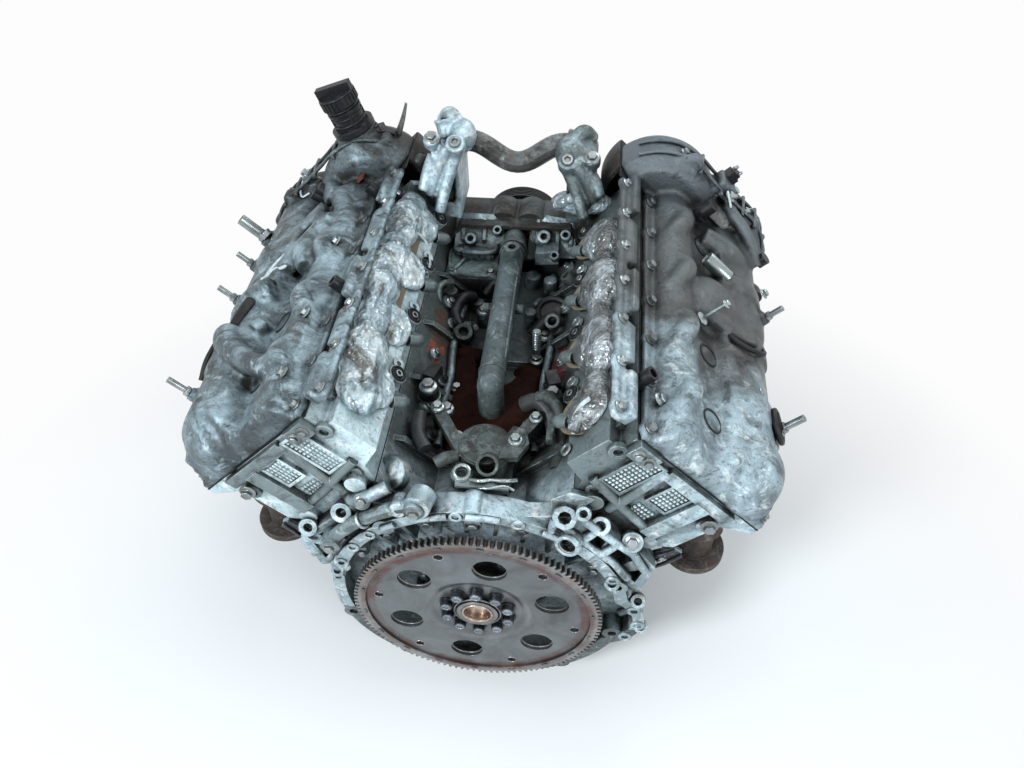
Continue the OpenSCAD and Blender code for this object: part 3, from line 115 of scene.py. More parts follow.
class Tree:
    """The node tree of a material or of the world."""

    def __init__(self, node_tree):
        self.nodes = node_tree.nodes
        self.links = node_tree.links

    def feed(self, socket, value):
        """Link a field to a socket, or set the socket to a number, a colour or a vector."""
        if isinstance(value, Field):
            self.links.new(value.socket, socket)
        elif socket.type == "RGBA":
            socket.default_value = (*value, 1.0)
        else:
            socket.default_value = value

    def node(self, kind, output, inputs, **settings):
        """Add a node, feed its inputs and give the field of one output."""
        n = self.nodes.new(kind)
        for name, value in settings.items():
            setattr(n, name, value)
        for name, value in inputs.items():
            self.feed(n.inputs[name], value)
        return Field(self, n.outputs[output])

    def coords(self):
        return self.node("ShaderNodeTexCoord", "Object", {})

    def noise(self, coords, scale, detail=4.0, rough=0.55, distort=0.0):
        inputs = {"Vector": coords, "Scale": scale, "Detail": detail, "Roughness": rough}
        return self.node("ShaderNodeTexNoise", "Fac", inputs | {"Distortion": distort})

    def cells(self, coords, scale, distance):
        inputs = {"Vector": coords, "Scale": scale}
        return self.node("ShaderNodeTexVoronoi", "Distance", inputs, feature="F1", distance=distance)

    def mix(self, share, first, second):
        return self.node("ShaderNodeMix", 2, {0: share, 6: first, 7: second}, data_type="RGBA")

    def mix_shaders(self, share, first, second):
        return self.node("ShaderNodeMixShader", "Shader", {0: share, 1: first, 2: second})

    def normal(self):
        return self.node("ShaderNodeNewGeometry", "Normal", {})

    def rounded(self, width):
        """The normal with the solid's edges rounded over a width."""
        return self.node("ShaderNodeBevel", "Normal", {"Radius": width}, samples=4)

    def bumped(self, height, distance, strength=1.0, edge=0.0):
        inputs = {"Strength": strength, "Distance": distance, "Height": height}
        if edge:
            inputs["Normal"] = self.rounded(edge)
        return self.node("ShaderNodeBump", "Normal", inputs)

    def facing_up(self, lo=0.1, hi=0.9):
        return self.normal().along("Z").rise(lo, hi)

    def hollows(self, reach, samples, lo, hi):
        """1 in corners narrower than the reach, 0 in the open; the materials paint shade into corners with
        it.
        """
        inputs = {"Distance": reach}
        return 1.0 - self.node("ShaderNodeAmbientOcclusion", "AO", inputs, samples=samples).rise(lo, hi)

    def band_along(self, coords, start, stop, wobble, axis="Y"):
        """0 before start and 1 after stop along an axis, with a ragged edge."""
        share = (coords.along(axis) - start) / (stop - start)
        return (share + (wobble - 0.5) * 2.0).rise(0.0, 1.0)

    def ring_band(self, radius, inner, outer, soft=0.004):
        """1 between two radii."""
        inside = smaller((radius - inner) / soft, (outer - radius) / soft)
        return self.node("ShaderNodeClamp", 0, {"Value": inside})

    def rubbed_edges(self, width):
        """1 along a solid's edges, found by rounding its normal over a width, and 0 on its faces."""
        inputs = {0: self.rounded(width), 1: self.normal()}
        turn = self.node("ShaderNodeVectorMath", "Value", inputs, operation="DOT_PRODUCT")
        return (1.0 - turn).rise(0.015, 0.16)

    def seen_rays(self):
        """1 for the rays that look at the background: from the camera, in reflections and through glass."""
        kinds = ("Is Camera Ray", "Is Glossy Ray", "Is Transmission Ray")
        camera, glossy, glass = [self.node("ShaderNodeLightPath", kind, {}) for kind in kinds]
        return larger(larger(camera, glossy), glass)

    def principled(self, colour, metallic, rough, normal=None, specular=None):
        inputs = {"Base Color": colour, "Metallic": metallic, "Roughness": rough}
        if normal:
            inputs["Normal"] = normal
        if specular is not None:
            inputs["Specular IOR Level"] = specular
        return self.node("ShaderNodeBsdfPrincipled", "BSDF", inputs)

    def show(self, shader):
        self.feed(self.nodes.new("ShaderNodeOutputMaterial").inputs["Surface"], shader)

    def surface(self, *principled):
        self.show(self.principled(*principled))


# ---------------------------------------------------------------- kinds of material

LOOKS = {}  # every material, by its name
CHALK = (0.52, 0.70, 0.78)  # bleached, dry alloy
OIL_BLACK = (0.024, 0.021, 0.018)


def material(name):
    made = bpy.data.materials.new(name + "_look")
    made.use_nodes = True
    made.node_tree.nodes.clear()
    LOOKS[name] = made
    return Tree(made.node_tree)


def scaled(colour, gain, lift=0.0):
    return tuple(min(1, c * gain + lift) for c in colour)


def cast_metal(name, base, shade, oil_and_shade_tint=(0.020, 0.020, 0.017), stain=(0.085, 0.062, 0.036), stain_amount=0.5,
               grain=0.0009, rough=0.40, edge=0.0022, metallic=0.45, reach=0.034, rust=0.0, offset=0.0,
               oil_and_shade_amount=1.0, bleach=0.5, oily=0.6, bands=()):
    """Sand-cast alloy: mottled, with shade painted into its corners and patches of oil, stained brown and
    rubbed bright on its edges.
    """
    t = material(name)
    plain = t.coords()
    shift = (offset, offset * 0.7, offset * 1.3)
    coords = t.node("ShaderNodeMapping", "Vector", {"Vector": plain, "Location": shift})
    big = t.noise(coords, 8.5, 7.0, 0.66, 1.1)
    mid = t.noise(coords, 52.0, 7.0, 0.70, 0.6)
    speckle = t.noise(coords, 175.0, 4.0, 0.66)
    fine = t.noise(coords, 640.0, 2.0, 0.5)
    colour = t.mix(big.rise(0.40, 0.58), base, shade)
    colour = t.mix(mid.rise(0.53, 0.68) * 0.8, colour, scaled(base, 2.1, 0.08))
    colour = t.mix(speckle.rise(0.53, 0.66) * 0.6, colour, scaled(shade, 0.35))
    if bleach:
        dusty = t.facing_up(0.35, 0.95) * t.noise(coords, 17.0, 7.0, 0.72, 1.0).rise(0.47, 0.60)
        colour = t.mix(dusty * bleach, colour, CHALK)
    stains = t.noise(coords, 15.0, 8.0, 0.70, 1.8).rise(0.53, 0.66)
    colour = t.mix(stains * stain_amount, colour, stain)
    for start, stop, tint, amount, *axis in bands:
        colour = t.mix(t.band_along(plain, start, stop, big, *axis) * amount, colour, tint)
    if rust:
        spots = t.noise(coords, 30.0, 8.0, 0.7, 0.8).rise(0.58, 0.70)
        colour = t.mix(spots * rust, colour, (0.20, 0.075, 0.032))
    # Painted shade: corners found by ambient occlusion, broken up by streaks, are darkened towards the oil
    # tint.
    streaks = t.noise(coords, 24.0, 7.0, 0.7, 1.4).rise(0.36, 0.60)
    corners = t.hollows(reach, 8, 0.34, 0.97) * (streaks * 0.7 + 0.62)
    film = t.noise(coords, 12.0, 9.0, 0.74, 2.2).rise(0.545, 0.62) * oily
    # This mask holds both the painted shade in the corners and the patches of oil.
    oil_and_painted_shade = smaller(larger(corners, film) * oil_and_shade_amount, 1.0)
    colour = t.mix(oil_and_painted_shade, colour, oil_and_shade_tint)
    worn = t.rubbed_edges(edge) * mid.rise(0.42, 0.56) * (0.75 - oil_and_painted_shade * 0.6)
    colour = t.mix(worn, colour, scaled(base, 1.15, 0.16))
    roughness = mid * 0.34 + (rough - 0.17) + oil_and_painted_shade * -0.10
    height = fine * 0.5 + mid * 1.8 + speckle * 1.1
    shine = metallic - oil_and_painted_shade * (metallic * 0.85)
    t.surface(colour, shine, roughness, t.bumped(height, grain, 0.9, edge), 0.22)


def steel(name, base, dark, rough=0.35, rust=0.0, metallic=0.9, rust_tint=(0.22, 0.07, 0.035), rings=()):
    """Bare or painted steel: shade painted into its corners, spots of rust, and patchy rings around the
    crankshaft axis.
    """
    t = material(name)
    coords = t.coords()
    mid = t.noise(coords, 90.0, 5.0, 0.6)
    colour = t.mix(t.noise(coords, 14.0, 6.0, 0.62, 1.0).rise(0.36, 0.66), base, dark)
    for inner, outer, tint, amount in rings:
        x, z = coords.along("X"), coords.along("Z")
        radius = x.calc("SQRT", x * x + z * z)
        patches = t.noise(coords, 22.0, 7.0, 0.7, 0.6).rise(0.36, 0.60)
        colour = t.mix(t.ring_band(radius, inner, outer) * amount * patches, colour, tint)
    # Painted shade: corners found by ambient occlusion are darkened.
    colour = t.mix(t.hollows(0.012, 6, 0.3, 0.95) * 0.8, colour, scaled(dark, 0.22))
    if rust:
        spots = t.noise(coords, 34.0, 9.0, 0.72, 0.9).rise(0.56 - 0.08 * rust, 0.72 - 0.08 * rust)
        colour = t.mix(spots * rust, colour, rust_tint)
    height = t.noise(coords, 900.0, 2.0, 0.5) * 0.5 + mid
    t.surface(colour, metallic, mid * 0.25 + (rough - 0.1), t.bumped(height, 0.0003, 0.6, 0.001))


def plastic(name, base, dust=(0.20, 0.20, 0.19), dusty=0.35, rough=0.38):
    """Plastic, rubber or paper, with dust on what faces up."""
    t = material(name)
    coords = t.coords()
    specks = t.noise(coords, 55.0, 7.0, 0.7, 0.4).rise(0.48, 0.72)
    colour = t.mix(specks * t.facing_up() * dusty, base, dust)
    grain = t.bumped(t.noise(coords, 1100.0, 2.0, 0.5), 0.00012, 0.5, 0.0008)
    t.surface(colour, 0.0, specks * 0.25 + rough, grain, 0.3)


def crumpled(name, light, mid_tone, dark, metallic, rough, size=70.0, depth=0.003, under=None):
    """Foil or film: sharp creases between small flat facets, with what lies under it showing through."""
    t = material(name)
    coords = t.coords()
    height = t.cells(coords, size, "EUCLIDEAN") + t.cells(coords, size * 2.3, "MANHATTAN") * 0.5
    patches = t.noise(coords, 26.0, 6.0, 0.68, 0.9)
    colour = patches.ramp((0.30, dark), (0.48, mid_tone), (0.62, light))
    if under:
        colour = t.mix(t.noise(coords, 13.0, 6.0, 0.65, 1.4).rise(0.52, 0.62) * 0.8, colour, under)
    t.surface(colour, metallic, patches * 0.2 + (rough - 0.1), t.bumped(height, depth))


def stained(name, base, tint, rough=0.3, size=40.0, grain=0.0015, specular=0.3):
    """A film of rust, sludge or sealant in two tints."""
    t = material(name)
    coords = t.coords()
    blots = t.noise(coords, size, 8.0, 0.7, 1.0)
    colour = t.mix(blots.rise(0.40, 0.62), base, tint)
    bumps = t.bumped(t.noise(coords, size * 3, 6.0, 0.7), grain, 0.9)
    t.surface(colour, 0.0, blots * 0.3 + (rough - 0.12), bumps, specular)


# ---------------------------------------------------------------- materials of the slots in the record

cast_metal("block", (0.58, 0.73, 0.79), (0.28, 0.355, 0.385), stain_amount=0.6, bleach=0.55,
           bands=((0.030, 0.095, (0.060, 0.068, 0.064), 0.86),))
cast_metal("head_left", (0.78, 0.95, 0.99), (0.48, 0.62, 0.66), stain=(0.12, 0.10, 0.065), offset=3.1,
           stain_amount=0.4, oil_and_shade_amount=0.75, oily=0.45, bleach=0.6)
cast_metal("head_right", (0.54, 0.70, 0.76), (0.25, 0.32, 0.345), stain=(0.095, 0.070, 0.042),
           stain_amount=0.7, offset=7.7, bleach=0.6,
           bands=((0.09, 0.17, (0.070, 0.072, 0.067), 0.8), (0.215, 0.180, (0.17, 0.21, 0.215), 0.85, "X")))
cast_metal("cover_left", (0.205, 0.265, 0.295), (0.080, 0.10, 0.11), stain=(0.055, 0.046, 0.034), offset=1.9,
           oily=0.8, bands=((0.40, 0.53, OIL_BLACK, 0.9),))
cast_metal("cover_right", (0.40, 0.51, 0.57), (0.185, 0.235, 0.26), stain=(0.085, 0.068, 0.052),
           stain_amount=0.4, offset=5.3, bleach=0.4, grain=0.0012,
           bands=((0.12, 0.22, (0.080, 0.076, 0.070), 0.85), (0.38, 0.50, (0.15, 0.18, 0.205), 0.75)))
cast_metal("timing_cover", (0.048, 0.044, 0.040), (0.022, 0.018, 0.015), stain=(0.060, 0.030, 0.017),
           stain_amount=0.85, offset=2.2, rust=0.55, bleach=0.1, metallic=0.2, rough=0.6,
           bands=((0.536, 0.550, (0.13, 0.14, 0.14), 0.7),))
cast_metal("upper_pan", (0.17, 0.20, 0.21), (0.09, 0.11, 0.11), stain_amount=0.6, offset=4.4)
cast_metal("lower_pan", (0.05, 0.057, 0.058), (0.028, 0.032, 0.032), (0.010, 0.010, 0.009),
           (0.06, 0.04, 0.022), metallic=0.1, rust=0.4, grain=0.0003, bleach=0.0)
cast_metal("coolant_castings", (0.21, 0.26, 0.27), (0.105, 0.13, 0.13), stain=(0.095, 0.075, 0.048),
           offset=6.1, bleach=0.6)
cast_metal("valley_pipe", (0.118, 0.148, 0.150), (0.078, 0.098, 0.100), (0.022, 0.020, 0.016),
           (0.060, 0.045, 0.030), 0.25, metallic=0.1, rough=0.55, grain=0.0004, bleach=0.1, oily=0.3)
cast_metal("crossover", (0.185, 0.19, 0.185), (0.10, 0.10, 0.095), (0.024, 0.022, 0.018),
           (0.080, 0.052, 0.030), 0.6, metallic=0.25, grain=0.0005, rust=0.3, bleach=0.25)
cast_metal("valley_plate", (0.33, 0.43, 0.425), (0.19, 0.24, 0.235), (0.022, 0.022, 0.018),
           (0.075, 0.046, 0.026), 0.6, metallic=0.2, grain=0.0004, bleach=0.2)
cast_metal("inner_aluminium", (0.38, 0.40, 0.41), (0.27, 0.29, 0.29), (0.09, 0.075, 0.045), grain=0.0002,
           bleach=0.0)
cast_metal("bearing_caps", (0.16, 0.16, 0.16), (0.10, 0.10, 0.10), (0.03, 0.03, 0.022), bleach=0.0)
cast_metal("manifolds", (0.105, 0.088, 0.076), (0.060, 0.050, 0.043), (0.016, 0.014, 0.012),
           (0.13, 0.062, 0.032), metallic=0.2, rough=0.7, rust=0.5, grain=0.0012, bleach=0.0)
steel("crank_steel", (0.30, 0.30, 0.30), (0.15, 0.15, 0.145), 0.3, rust=0.2)
steel("hub_spacer", (0.17, 0.115, 0.078), (0.085, 0.058, 0.042), 0.36, rust=0.5)
steel("flexplate", (0.185, 0.200, 0.208), (0.098, 0.103, 0.105), 0.32, rust=0.25, metallic=0.75,
      rust_tint=(0.11, 0.050, 0.034),
      rings=((0.030, 0.058, (0.25, 0.25, 0.25), 0.35), (0.062, 0.072, (0.27, 0.27, 0.28), 0.5),
             (0.131, 0.150, (0.115, 0.042, 0.030), 0.8)))
steel("ring_gear", (0.34, 0.34, 0.335), (0.14, 0.13, 0.12), 0.36, rust=0.45,
      rings=((0.140, 0.1525, (0.12, 0.046, 0.032), 0.7),))
steel("dark_bolts", (0.10, 0.112, 0.128), (0.040, 0.042, 0.046), 0.3, rust=0.1)
steel("bright_bolts", (0.42, 0.48, 0.50), (0.18, 0.195, 0.19), 0.3, rust=0.3)
steel("bearings", (0.50, 0.46, 0.38), (0.36, 0.33, 0.28), 0.25)
steel("pulleys", (0.028, 0.029, 0.031), (0.015, 0.015, 0.015), 0.4, rust=0.25, metallic=0.3)
plastic("gaskets", (0.012, 0.012, 0.013), rough=0.55, dusty=0.15)
plastic("intake_gaskets", (0.20, 0.165, 0.11), (0.06, 0.05, 0.038), 0.8, 0.7)
plastic("black_plastic", (0.009, 0.010, 0.012))
crumpled("port_masks_left", (0.92, 1.0, 1.0), (0.50, 0.63, 0.69), (0.095, 0.105, 0.10), 0.15, 0.24, 60.0,
         0.0035, under=(0.095, 0.070, 0.040))
crumpled("port_masks_right", (0.50, 0.56, 0.60), (0.21, 0.225, 0.23), (0.070, 0.068, 0.064), 0.5, 0.30, 105.0,
         0.0022)

# ---------------------------------------------------------------- materials of the added pieces only

cast_metal("coolant_left", (0.62, 0.79, 0.87), (0.33, 0.42, 0.46), stain=(0.12, 0.095, 0.06), offset=8.4,
           bleach=0.7)
cast_metal("arms", (0.085, 0.100, 0.094), (0.045, 0.052, 0.048), stain=(0.060, 0.048, 0.032), offset=9.2,
           metallic=0.3, rough=0.5, bleach=0.15)
cast_metal("dark_cast", (0.27, 0.34, 0.36), (0.13, 0.16, 0.17), stain=(0.055, 0.045, 0.032), offset=10.1,
           bleach=0.25)
cast_metal("waffle", (0.78, 0.94, 0.97), (0.52, 0.64, 0.68), (0.016, 0.017, 0.015), metallic=0.35,
           stain_amount=0.3, reach=0.006, oil_and_shade_amount=0.7, edge=0.0006, oily=0.3)
steel("bronze", (0.62, 0.51, 0.43), (0.34, 0.26, 0.21), 0.26, rust=0.1)
steel("bright_tube", (0.46, 0.53, 0.54), (0.24, 0.28, 0.28), 0.24)
steel("plate_edge", (0.34, 0.34, 0.34), (0.16, 0.15, 0.15), 0.26, rust=0.2, metallic=0.85)
steel("bolt_top", (0.32, 0.37, 0.42), (0.15, 0.165, 0.18), 0.28, rust=0.05)
plastic("rubber", (0.009, 0.009, 0.010), rough=0.5, dusty=0.12)
plastic("red_mark", (0.15, 0.045, 0.034), (0.09, 0.07, 0.06), 0.7, 0.6)
plastic("grey_hose", (0.042, 0.045, 0.047), dusty=0.4)
stained("rust_pool", (0.032, 0.0095, 0.0055), (0.0095, 0.0045, 0.0035), 0.55, 34.0, 0.0016, 0.06)
stained("rust_patch", (0.40, 0.090, 0.045), (0.085, 0.062, 0.052), 0.5, 95.0, 0.003)
stained("rust_brown_patch", (0.14, 0.070, 0.048), (0.060, 0.052, 0.047), 0.6, 110.0, 0.003, 0.2)
stained("red_patch", (0.105, 0.016, 0.017), (0.026, 0.011, 0.011), 0.4, 50.0)
stained("white_strip", (0.76, 0.84, 0.86), (0.46, 0.54, 0.55), 0.45, 80.0, 0.0008)
crumpled("foil", (0.74, 0.86, 0.92), (0.45, 0.54, 0.58), (0.15, 0.17, 0.18), 0.3, 0.26, 60.0, 0.004)

for part in frame["record"]["subparts"]:
    obj = NODES[part["node"]]
    obj.data.materials.clear()
    obj.data.materials.append(LOOKS[part["material_slot"]])
for name in ("rear_coolant_housing", "valley_brackets"):
    NODES[name].data.materials[0] = LOOKS["arms"]

# ---------------------------------------------------------------- shapes, in millimetres

X, Y, Z = Vector((1, 0, 0)), Vector((0, 1, 0)), Vector((0, 0, 1))
REAR = -Y  # towards the flexplate end
MM_PER_M = 1000
COS_45 = math.sqrt(0.5)


def square_to(d):
    """Two directions square to a third one and to each other."""
    d = Vector(d).normalized()
    a = d.cross(Z if abs(d.z) < 0.9 else Y).normalized()
    return a, d.cross(a)


def polar(radius, degrees, y=0.0):
    """A point around the crankshaft axis, counted from +X towards +Z."""
    a = math.radians(degrees)
    return Vector((radius * math.cos(a), y, radius * math.sin(a)))


def ellipse(centre, a, b, n):
    """n points around a centre, where a and b are pairs of a direction and a radius."""
    turns = [2 * math.pi * i / n for i in range(n)]
    return [centre + a[0] * (a[1] * math.cos(x)) + b[0] * (b[1] * math.sin(x)) for x in turns]


def on_curve(p0, p1, p2, p3, s):
    """The point at share s of the way from p1 to p2, on a smooth curve through the four."""
    return 0.5 * (2 * p1 + (p2 - p0) * s + (2 * p0 - 5 * p1 + 4 * p2 - p3) * s * s
                  + (3 * p1 - p0 - 3 * p2 + p3) * s ** 3)


def curve_through(points, steps):
    p = [Vector(c) for c in points]
    p = [p[0] * 2 - p[1]] + p + [p[-1] * 2 - p[-2]]
    return [on_curve(*p[i:i + 4], k / steps) for i in range(len(p) - 3) for k in range(steps)] + [p[-2]]


class Bag:
    """Collects closed solids into one mesh."""

    def __init__(self):
        self.points, self.faces = [], []

    def add(self, points, faces):
        start = len(self.points)
        self.points += [Vector(c) for c in points]
        self.faces += [[i + start for i in face] for face in faces]

    def rings(self, rings, closed=False):
        """The skin over a row of rings. Its ends are capped unless the row closes on itself."""
        n, m = len(rings[0]), len(rings)
        faces = []
        for j in range(m if closed else m - 1):
            near, far = j * n, (j + 1) % m * n
            faces += [[near + i, near + (i + 1) % n, far + (i + 1) % n, far + i] for i in range(n)]
        if not closed:
            faces += [list(range(n))[::-1], [(m - 1) * n + i for i in range(n)]]
        self.add([c for ring in rings for c in ring], faces)

    def lathe(self, p, d, profile, n=24):
        """A turned shape. The profile has pairs of a radius and a height along d from p."""
        p = Vector(p)
        a, b = square_to(d)
        d = Vector(d).normalized()
        self.rings([ellipse(p + d * h, (a, max(r, 0.01)), (b, max(r, 0.01)), n) for r, h in profile])

    def cyl(self, p, d, r, h, n=24, round_off=0.0):
        top = [(r, h)]
        if round_off:
            top = [(r, h - round_off), (r - round_off * 0.3, h - round_off * 0.3), (r - round_off, h)]
        self.lathe(p, d, [(r, 0)] + top, n)

    def pipe(self, p, d, r, bore, h, n=24, deep=None):
        """A tube with an open bore."""
        deep = h * 0.8 if deep is None else deep
        outside = [(r, 0), (r, h - 0.8), (r - 0.6, h)]
        self.lathe(p, d, outside + [(bore + 0.4, h), (bore, h - 0.8), (bore, h - deep)], n)

    def box(self, c, size, axes=(X, Y, Z)):
        x, y, z = (Vector(axis) * length / 2 for axis, length in zip(axes, size))
        corners = [Vector(c) + x * i + y * j + z * k for k in (-1, 1) for j in (-1, 1) for i in (-1, 1)]
        faces = [[0, 2, 3, 1], [4, 5, 7, 6], [0, 1, 5, 4], [2, 6, 7, 3], [0, 4, 6, 2], [1, 3, 7, 5]]
        self.add(corners, faces)

    def slab(self, outline, d, thick):
        """A flat plate from an outline of points and a thickness along d."""
        d = Vector(d).normalized()
        lower = [Vector(c) for c in outline]
        self.rings([lower, [c + d * thick for c in lower]])

    def ball(self, c, radii, axes=(X, Y, Z), n=12):
        c = Vector(c)
        rings = []
        for j in range(1, n):
            tilt = math.pi * j / n
            wide = [(axis, r * math.sin(tilt)) for axis, r in zip(axes[:2], radii)]
            rings.append([q + axes[2] * (radii[2] * math.cos(tilt)) for q in ellipse(c, *wide, 2 * n)])
        self.rings(rings)

    def tube(self, points, r, n=12, steps=6, flat=1.0):
        """A rod along a smooth curve. Its radius may be a function of the share of the way."""
        path = curve_through(points, steps)
        last = len(path) - 1
        rings = []
        a = None
        for i, p in enumerate(path):
            d = (path[min(i + 1, last)] - path[max(i - 1, 0)]).normalized()
            if a is None:
                a, _ = square_to(d)
            a = (a - d * a.dot(d)).normalized()
            radius = r(i / last) if callable(r) else r
            rings.append(ellipse(p, (a, radius), (d.cross(a), radius * flat), n))
        self.rings(rings)

    def loop(self, points, r, n=8, steps=6):
        """A closed loop of wire through the points."""
        p = [Vector(c) for c in points]
        p = p[-1:] + p + p[:2]
        path = [on_curve(*p[i:i + 4], k / steps) for i in range(len(p) - 3) for k in range(steps)]
        rings = []
        for i, centre in enumerate(path):
            a, b = square_to((path[(i + 1) % len(path)] - path[i - 1]).normalized())
            rings.append(ellipse(centre, (a, r), (b, r), n))
        self.rings(rings, closed=True)

    def ring(self, c, d, radius, r, n=36, m=8):
        """A round wire of radius r, bent to a circle square to d."""
        c = Vector(c)
        d = Vector(d).normalized()
        a, b = square_to(d)
        rings = []
        for w in ellipse(Vector(), (a, 1), (b, 1), n):
            turns = [2 * math.pi * k / m for k in range(m)]
            rings.append([c + w * (radius + r * math.cos(x)) + d * (r * math.sin(x)) for x in turns])
        self.rings(rings, closed=True)

    def bolt(self, p, d, r, turn=0.0):
        """Hexagon head with its flange."""
        p = Vector(p)
        d = Vector(d).normalized()
        self.lathe(p, d, [(r * 1.45, 0), (r * 1.45, r * 0.12), (r * 1.05, r * 0.38)], 20)
        a, b = square_to(d)
        angles = [turn + math.pi / 3 * i for i in range(6)]
        corners = [a * math.cos(x) + b * math.sin(x) for x in angles]
        profile = ((r, 0.2 * r), (r, 1.03 * r), (0.84 * r, 1.15 * r))
        self.rings([[p + d * h + w * wide for w in corners] for wide, h in profile])

    def socket(self, p, d, r, h):
        """Cap screw with a socket in its head."""
        outside = [(r, 0), (r, h - 0.8), (r - 0.8, h)]
        self.lathe(p, d, outside + [(r * 0.58, h), (r * 0.52, h - 0.6), (r * 0.5, h * 0.35)], 18)

    def knot(self, p, d, size, seed, n=12, flat=0.6):
        """An irregular lump, as of sealant or cast flash."""
        rng = random.Random(seed)
        a, b = square_to(d)
        d = Vector(d).normalized()
        phase = [rng.uniform(0, 6.28) for _ in range(3)]
        rings = []
        for j in range(1, 8):
            tilt = math.pi * j / 8
            ring = []
            for x in [2 * math.pi * i / n for i in range(n)]:
                uneven = 1 + 0.22 * math.sin(2 * x + phase[0]) + 0.12 * math.sin(3 * x + phase[1])
                out = (a * math.cos(x) + b * math.sin(x) * 0.85) * (size * math.sin(tilt) * uneven)
                lift = size * flat * math.cos(tilt) * (1 + 0.1 * math.sin(x + phase[2]))
                ring.append(Vector(p) + out + d * lift)
            rings.append(ring)
        self.rings(rings)

    def mesh(self, name):
        made = bpy.data.meshes.new(name)
        made.from_pydata([c / MM_PER_M for c in self.points], [], self.faces)
        bm = bmesh.new()
        bm.from_mesh(made)
        bmesh.ops.recalc_face_normals(bm, faces=bm.faces)
        bm.to_mesh(made)
        bm.free()
        return made


def to_scene(name, mesh):
    o = bpy.data.objects.new(name, mesh)
    bpy.context.scene.collection.objects.link(o)
    return o


def piece(name, bag, look, body="engine", angle=38):
    """Show a bag as a piece of its own, with edges sharper than the angle kept sharp."""
    o = to_scene(name, bag.mesh(name))
    o.data.shade_smooth()
    o.data.set_sharp_from_angle(angle=math.radians(angle))
    o.data.materials.append(LOOKS[look])
    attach(o, body)
    return o


def fused(name, nodes, bag, voxel, passes, look, body="engine", keep=1.0):
    """The named solids and the shapes of a bag grown into one casting with rounded corners."""
    bm = bmesh.new()
    for n in nodes:
        solid = NODES[n].data.copy()
        solid.transform(NODES[n].matrix_world)
        bm.from_mesh(solid)
        bpy.data.meshes.remove(solid)
    forms = bag.mesh("forms")
    bm.from_mesh(forms)
    bpy.data.meshes.remove(forms)
    raw = bpy.data.meshes.new(name)
    bm.to_mesh(raw)
    bm.free()
    o = to_scene(name, raw)
    grow = o.modifiers.new("grow", "REMESH")
    grow.mode = "VOXEL"
    grow.voxel_size = voxel / MM_PER_M
    grow.use_smooth_shade = True
    rounding = o.modifiers.new("round", "SMOOTH")
    rounding.factor = 0.5
    rounding.iterations = passes
    if keep < 1.0:
        o.modifiers.new("thin", "DECIMATE").ratio = keep
    bpy.context.view_layer.update()
    done = bpy.data.meshes.new_from_object(o.evaluated_get(bpy.context.evaluated_depsgraph_get()))
    done.name = name
    o.modifiers.clear()
    o.data = done
    bpy.data.meshes.remove(raw)
    done.materials.clear()
    done.materials.append(LOOKS[look])
    done.shade_smooth()
    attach(o, body)
    if nodes:
        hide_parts(*nodes)
    return o


def crumple(mesh, axis, size, depth, seed):
    """Push the vertices along an axis by ridged noise, as in creased foil."""
    shift = Vector((seed * 3.7, seed * 1.3, seed * 2.1))
    for p in mesh.vertices:
        c = p.co * size + shift
        ridge = 1 - 2 * abs(noise.noise(c))
        fold = 1 - 2 * abs(noise.noise(c * 2.3 + shift))
        p.co += axis * (depth * (0.6 * ridge + 0.4 * fold))


# ---------------------------------------------------------------- the banks, and places taken from the solids


class Bank:
    """A row of cylinders. u runs out along its bores, v across them to the exhaust side, y to the front."""

    def __init__(self, side, name):
        self.side = side
        self.name = name
        self.u = Vector((side * COS_45, 0, COS_45))
        self.v = Vector((side * COS_45, 0, -COS_45))
        self.across = (self.v, Y, self.u)
        self.along = (self.u, Y, self.v)

    def at(self, u, v, y):
        return Vector((self.side * (u + v) * COS_45, y, (u - v) * COS_45))

    def run(self, *points):
        return [self.at(*p) for p in points]

    def around(self, u, v, y, radius, angle):
        """A point around an axis that runs to the front."""
        return self.at(u, v, y) + (self.u * math.cos(angle) + self.v * math.sin(angle)) * radius

    def extent(self, node):
        """Bounds of one of the bank's nodes along u, v and y."""
        solid = NODES[f"{self.name}_{node}"]
        points = [solid.matrix_world @ c.co * MM_PER_M for c in solid.data.vertices]
        us = [(self.side * p.x + p.z) * COS_45 for p in points]
        vs = [(self.side * p.x - p.z) * COS_45 for p in points]
        ys = [p.y for p in points]
        return (min(us), max(us)), (min(vs), max(vs)), (min(ys), max(ys))


def extent(name):
    """Bounds of a node: lowest corner, highest corner."""
    solid = NODES[name]
    corners = [solid.matrix_world @ Vector(c) * MM_PER_M for c in solid.bound_box]
    return [min(p[i] for p in corners) for i in range(3)], [max(p[i] for p in corners) for i in range(3)]


LEFT, RIGHT = Bank(-1, "left"), Bank(1, "right")
BANKS = (LEFT, RIGHT)
(port_u0, port_u1), (_, INTAKE_V), (port_y0, port_y1) = RIGHT.extent("intake_gasket")
PORT_U = (port_u0 + port_u1) / 2
PORT_REACH = (port_u1 - port_u0) / 2
PITCH = (port_y1 - port_y0 - 2 * PORT_REACH) / 3
(CAM_U, COVER_U), (FLANGE_V, _), (HEAD_Y, _) = RIGHT.extent("cover_gasket")
for bank in BANKS:
    bank.ports = [bank.extent("intake_gasket")[2][0] + PORT_REACH + i * PITCH for i in range(4)]
FRONT_Y = extent("valley_pipe")[1][1]
DECK_U = RIGHT.extent("head_gasket")[0][1]
VALLEY_Z = extent("rear_coolant_housing")[0][2]
GEAR_Y = extent("ring_gear")[0][1]
PLATE_Y = extent("flexplate")[0][1]
BOLT_TOP_Y = extent("flexplate_bolts")[0][1]
DOME_U, INTAKE_DOME_V, EXHAUST_DOME_V = 346, -60, 54  # axes of the two rounded ends of a cover
SCREW_Y = [HEAD_Y + 12 + i * (FRONT_Y - HEAD_Y - 56) / 6 for i in range(7)]
DOME_SCREWS = [math.radians(a) for a in (-70, -35, 0, 35, 70, 110)]

# ---------------------------------------------------------------- valve covers


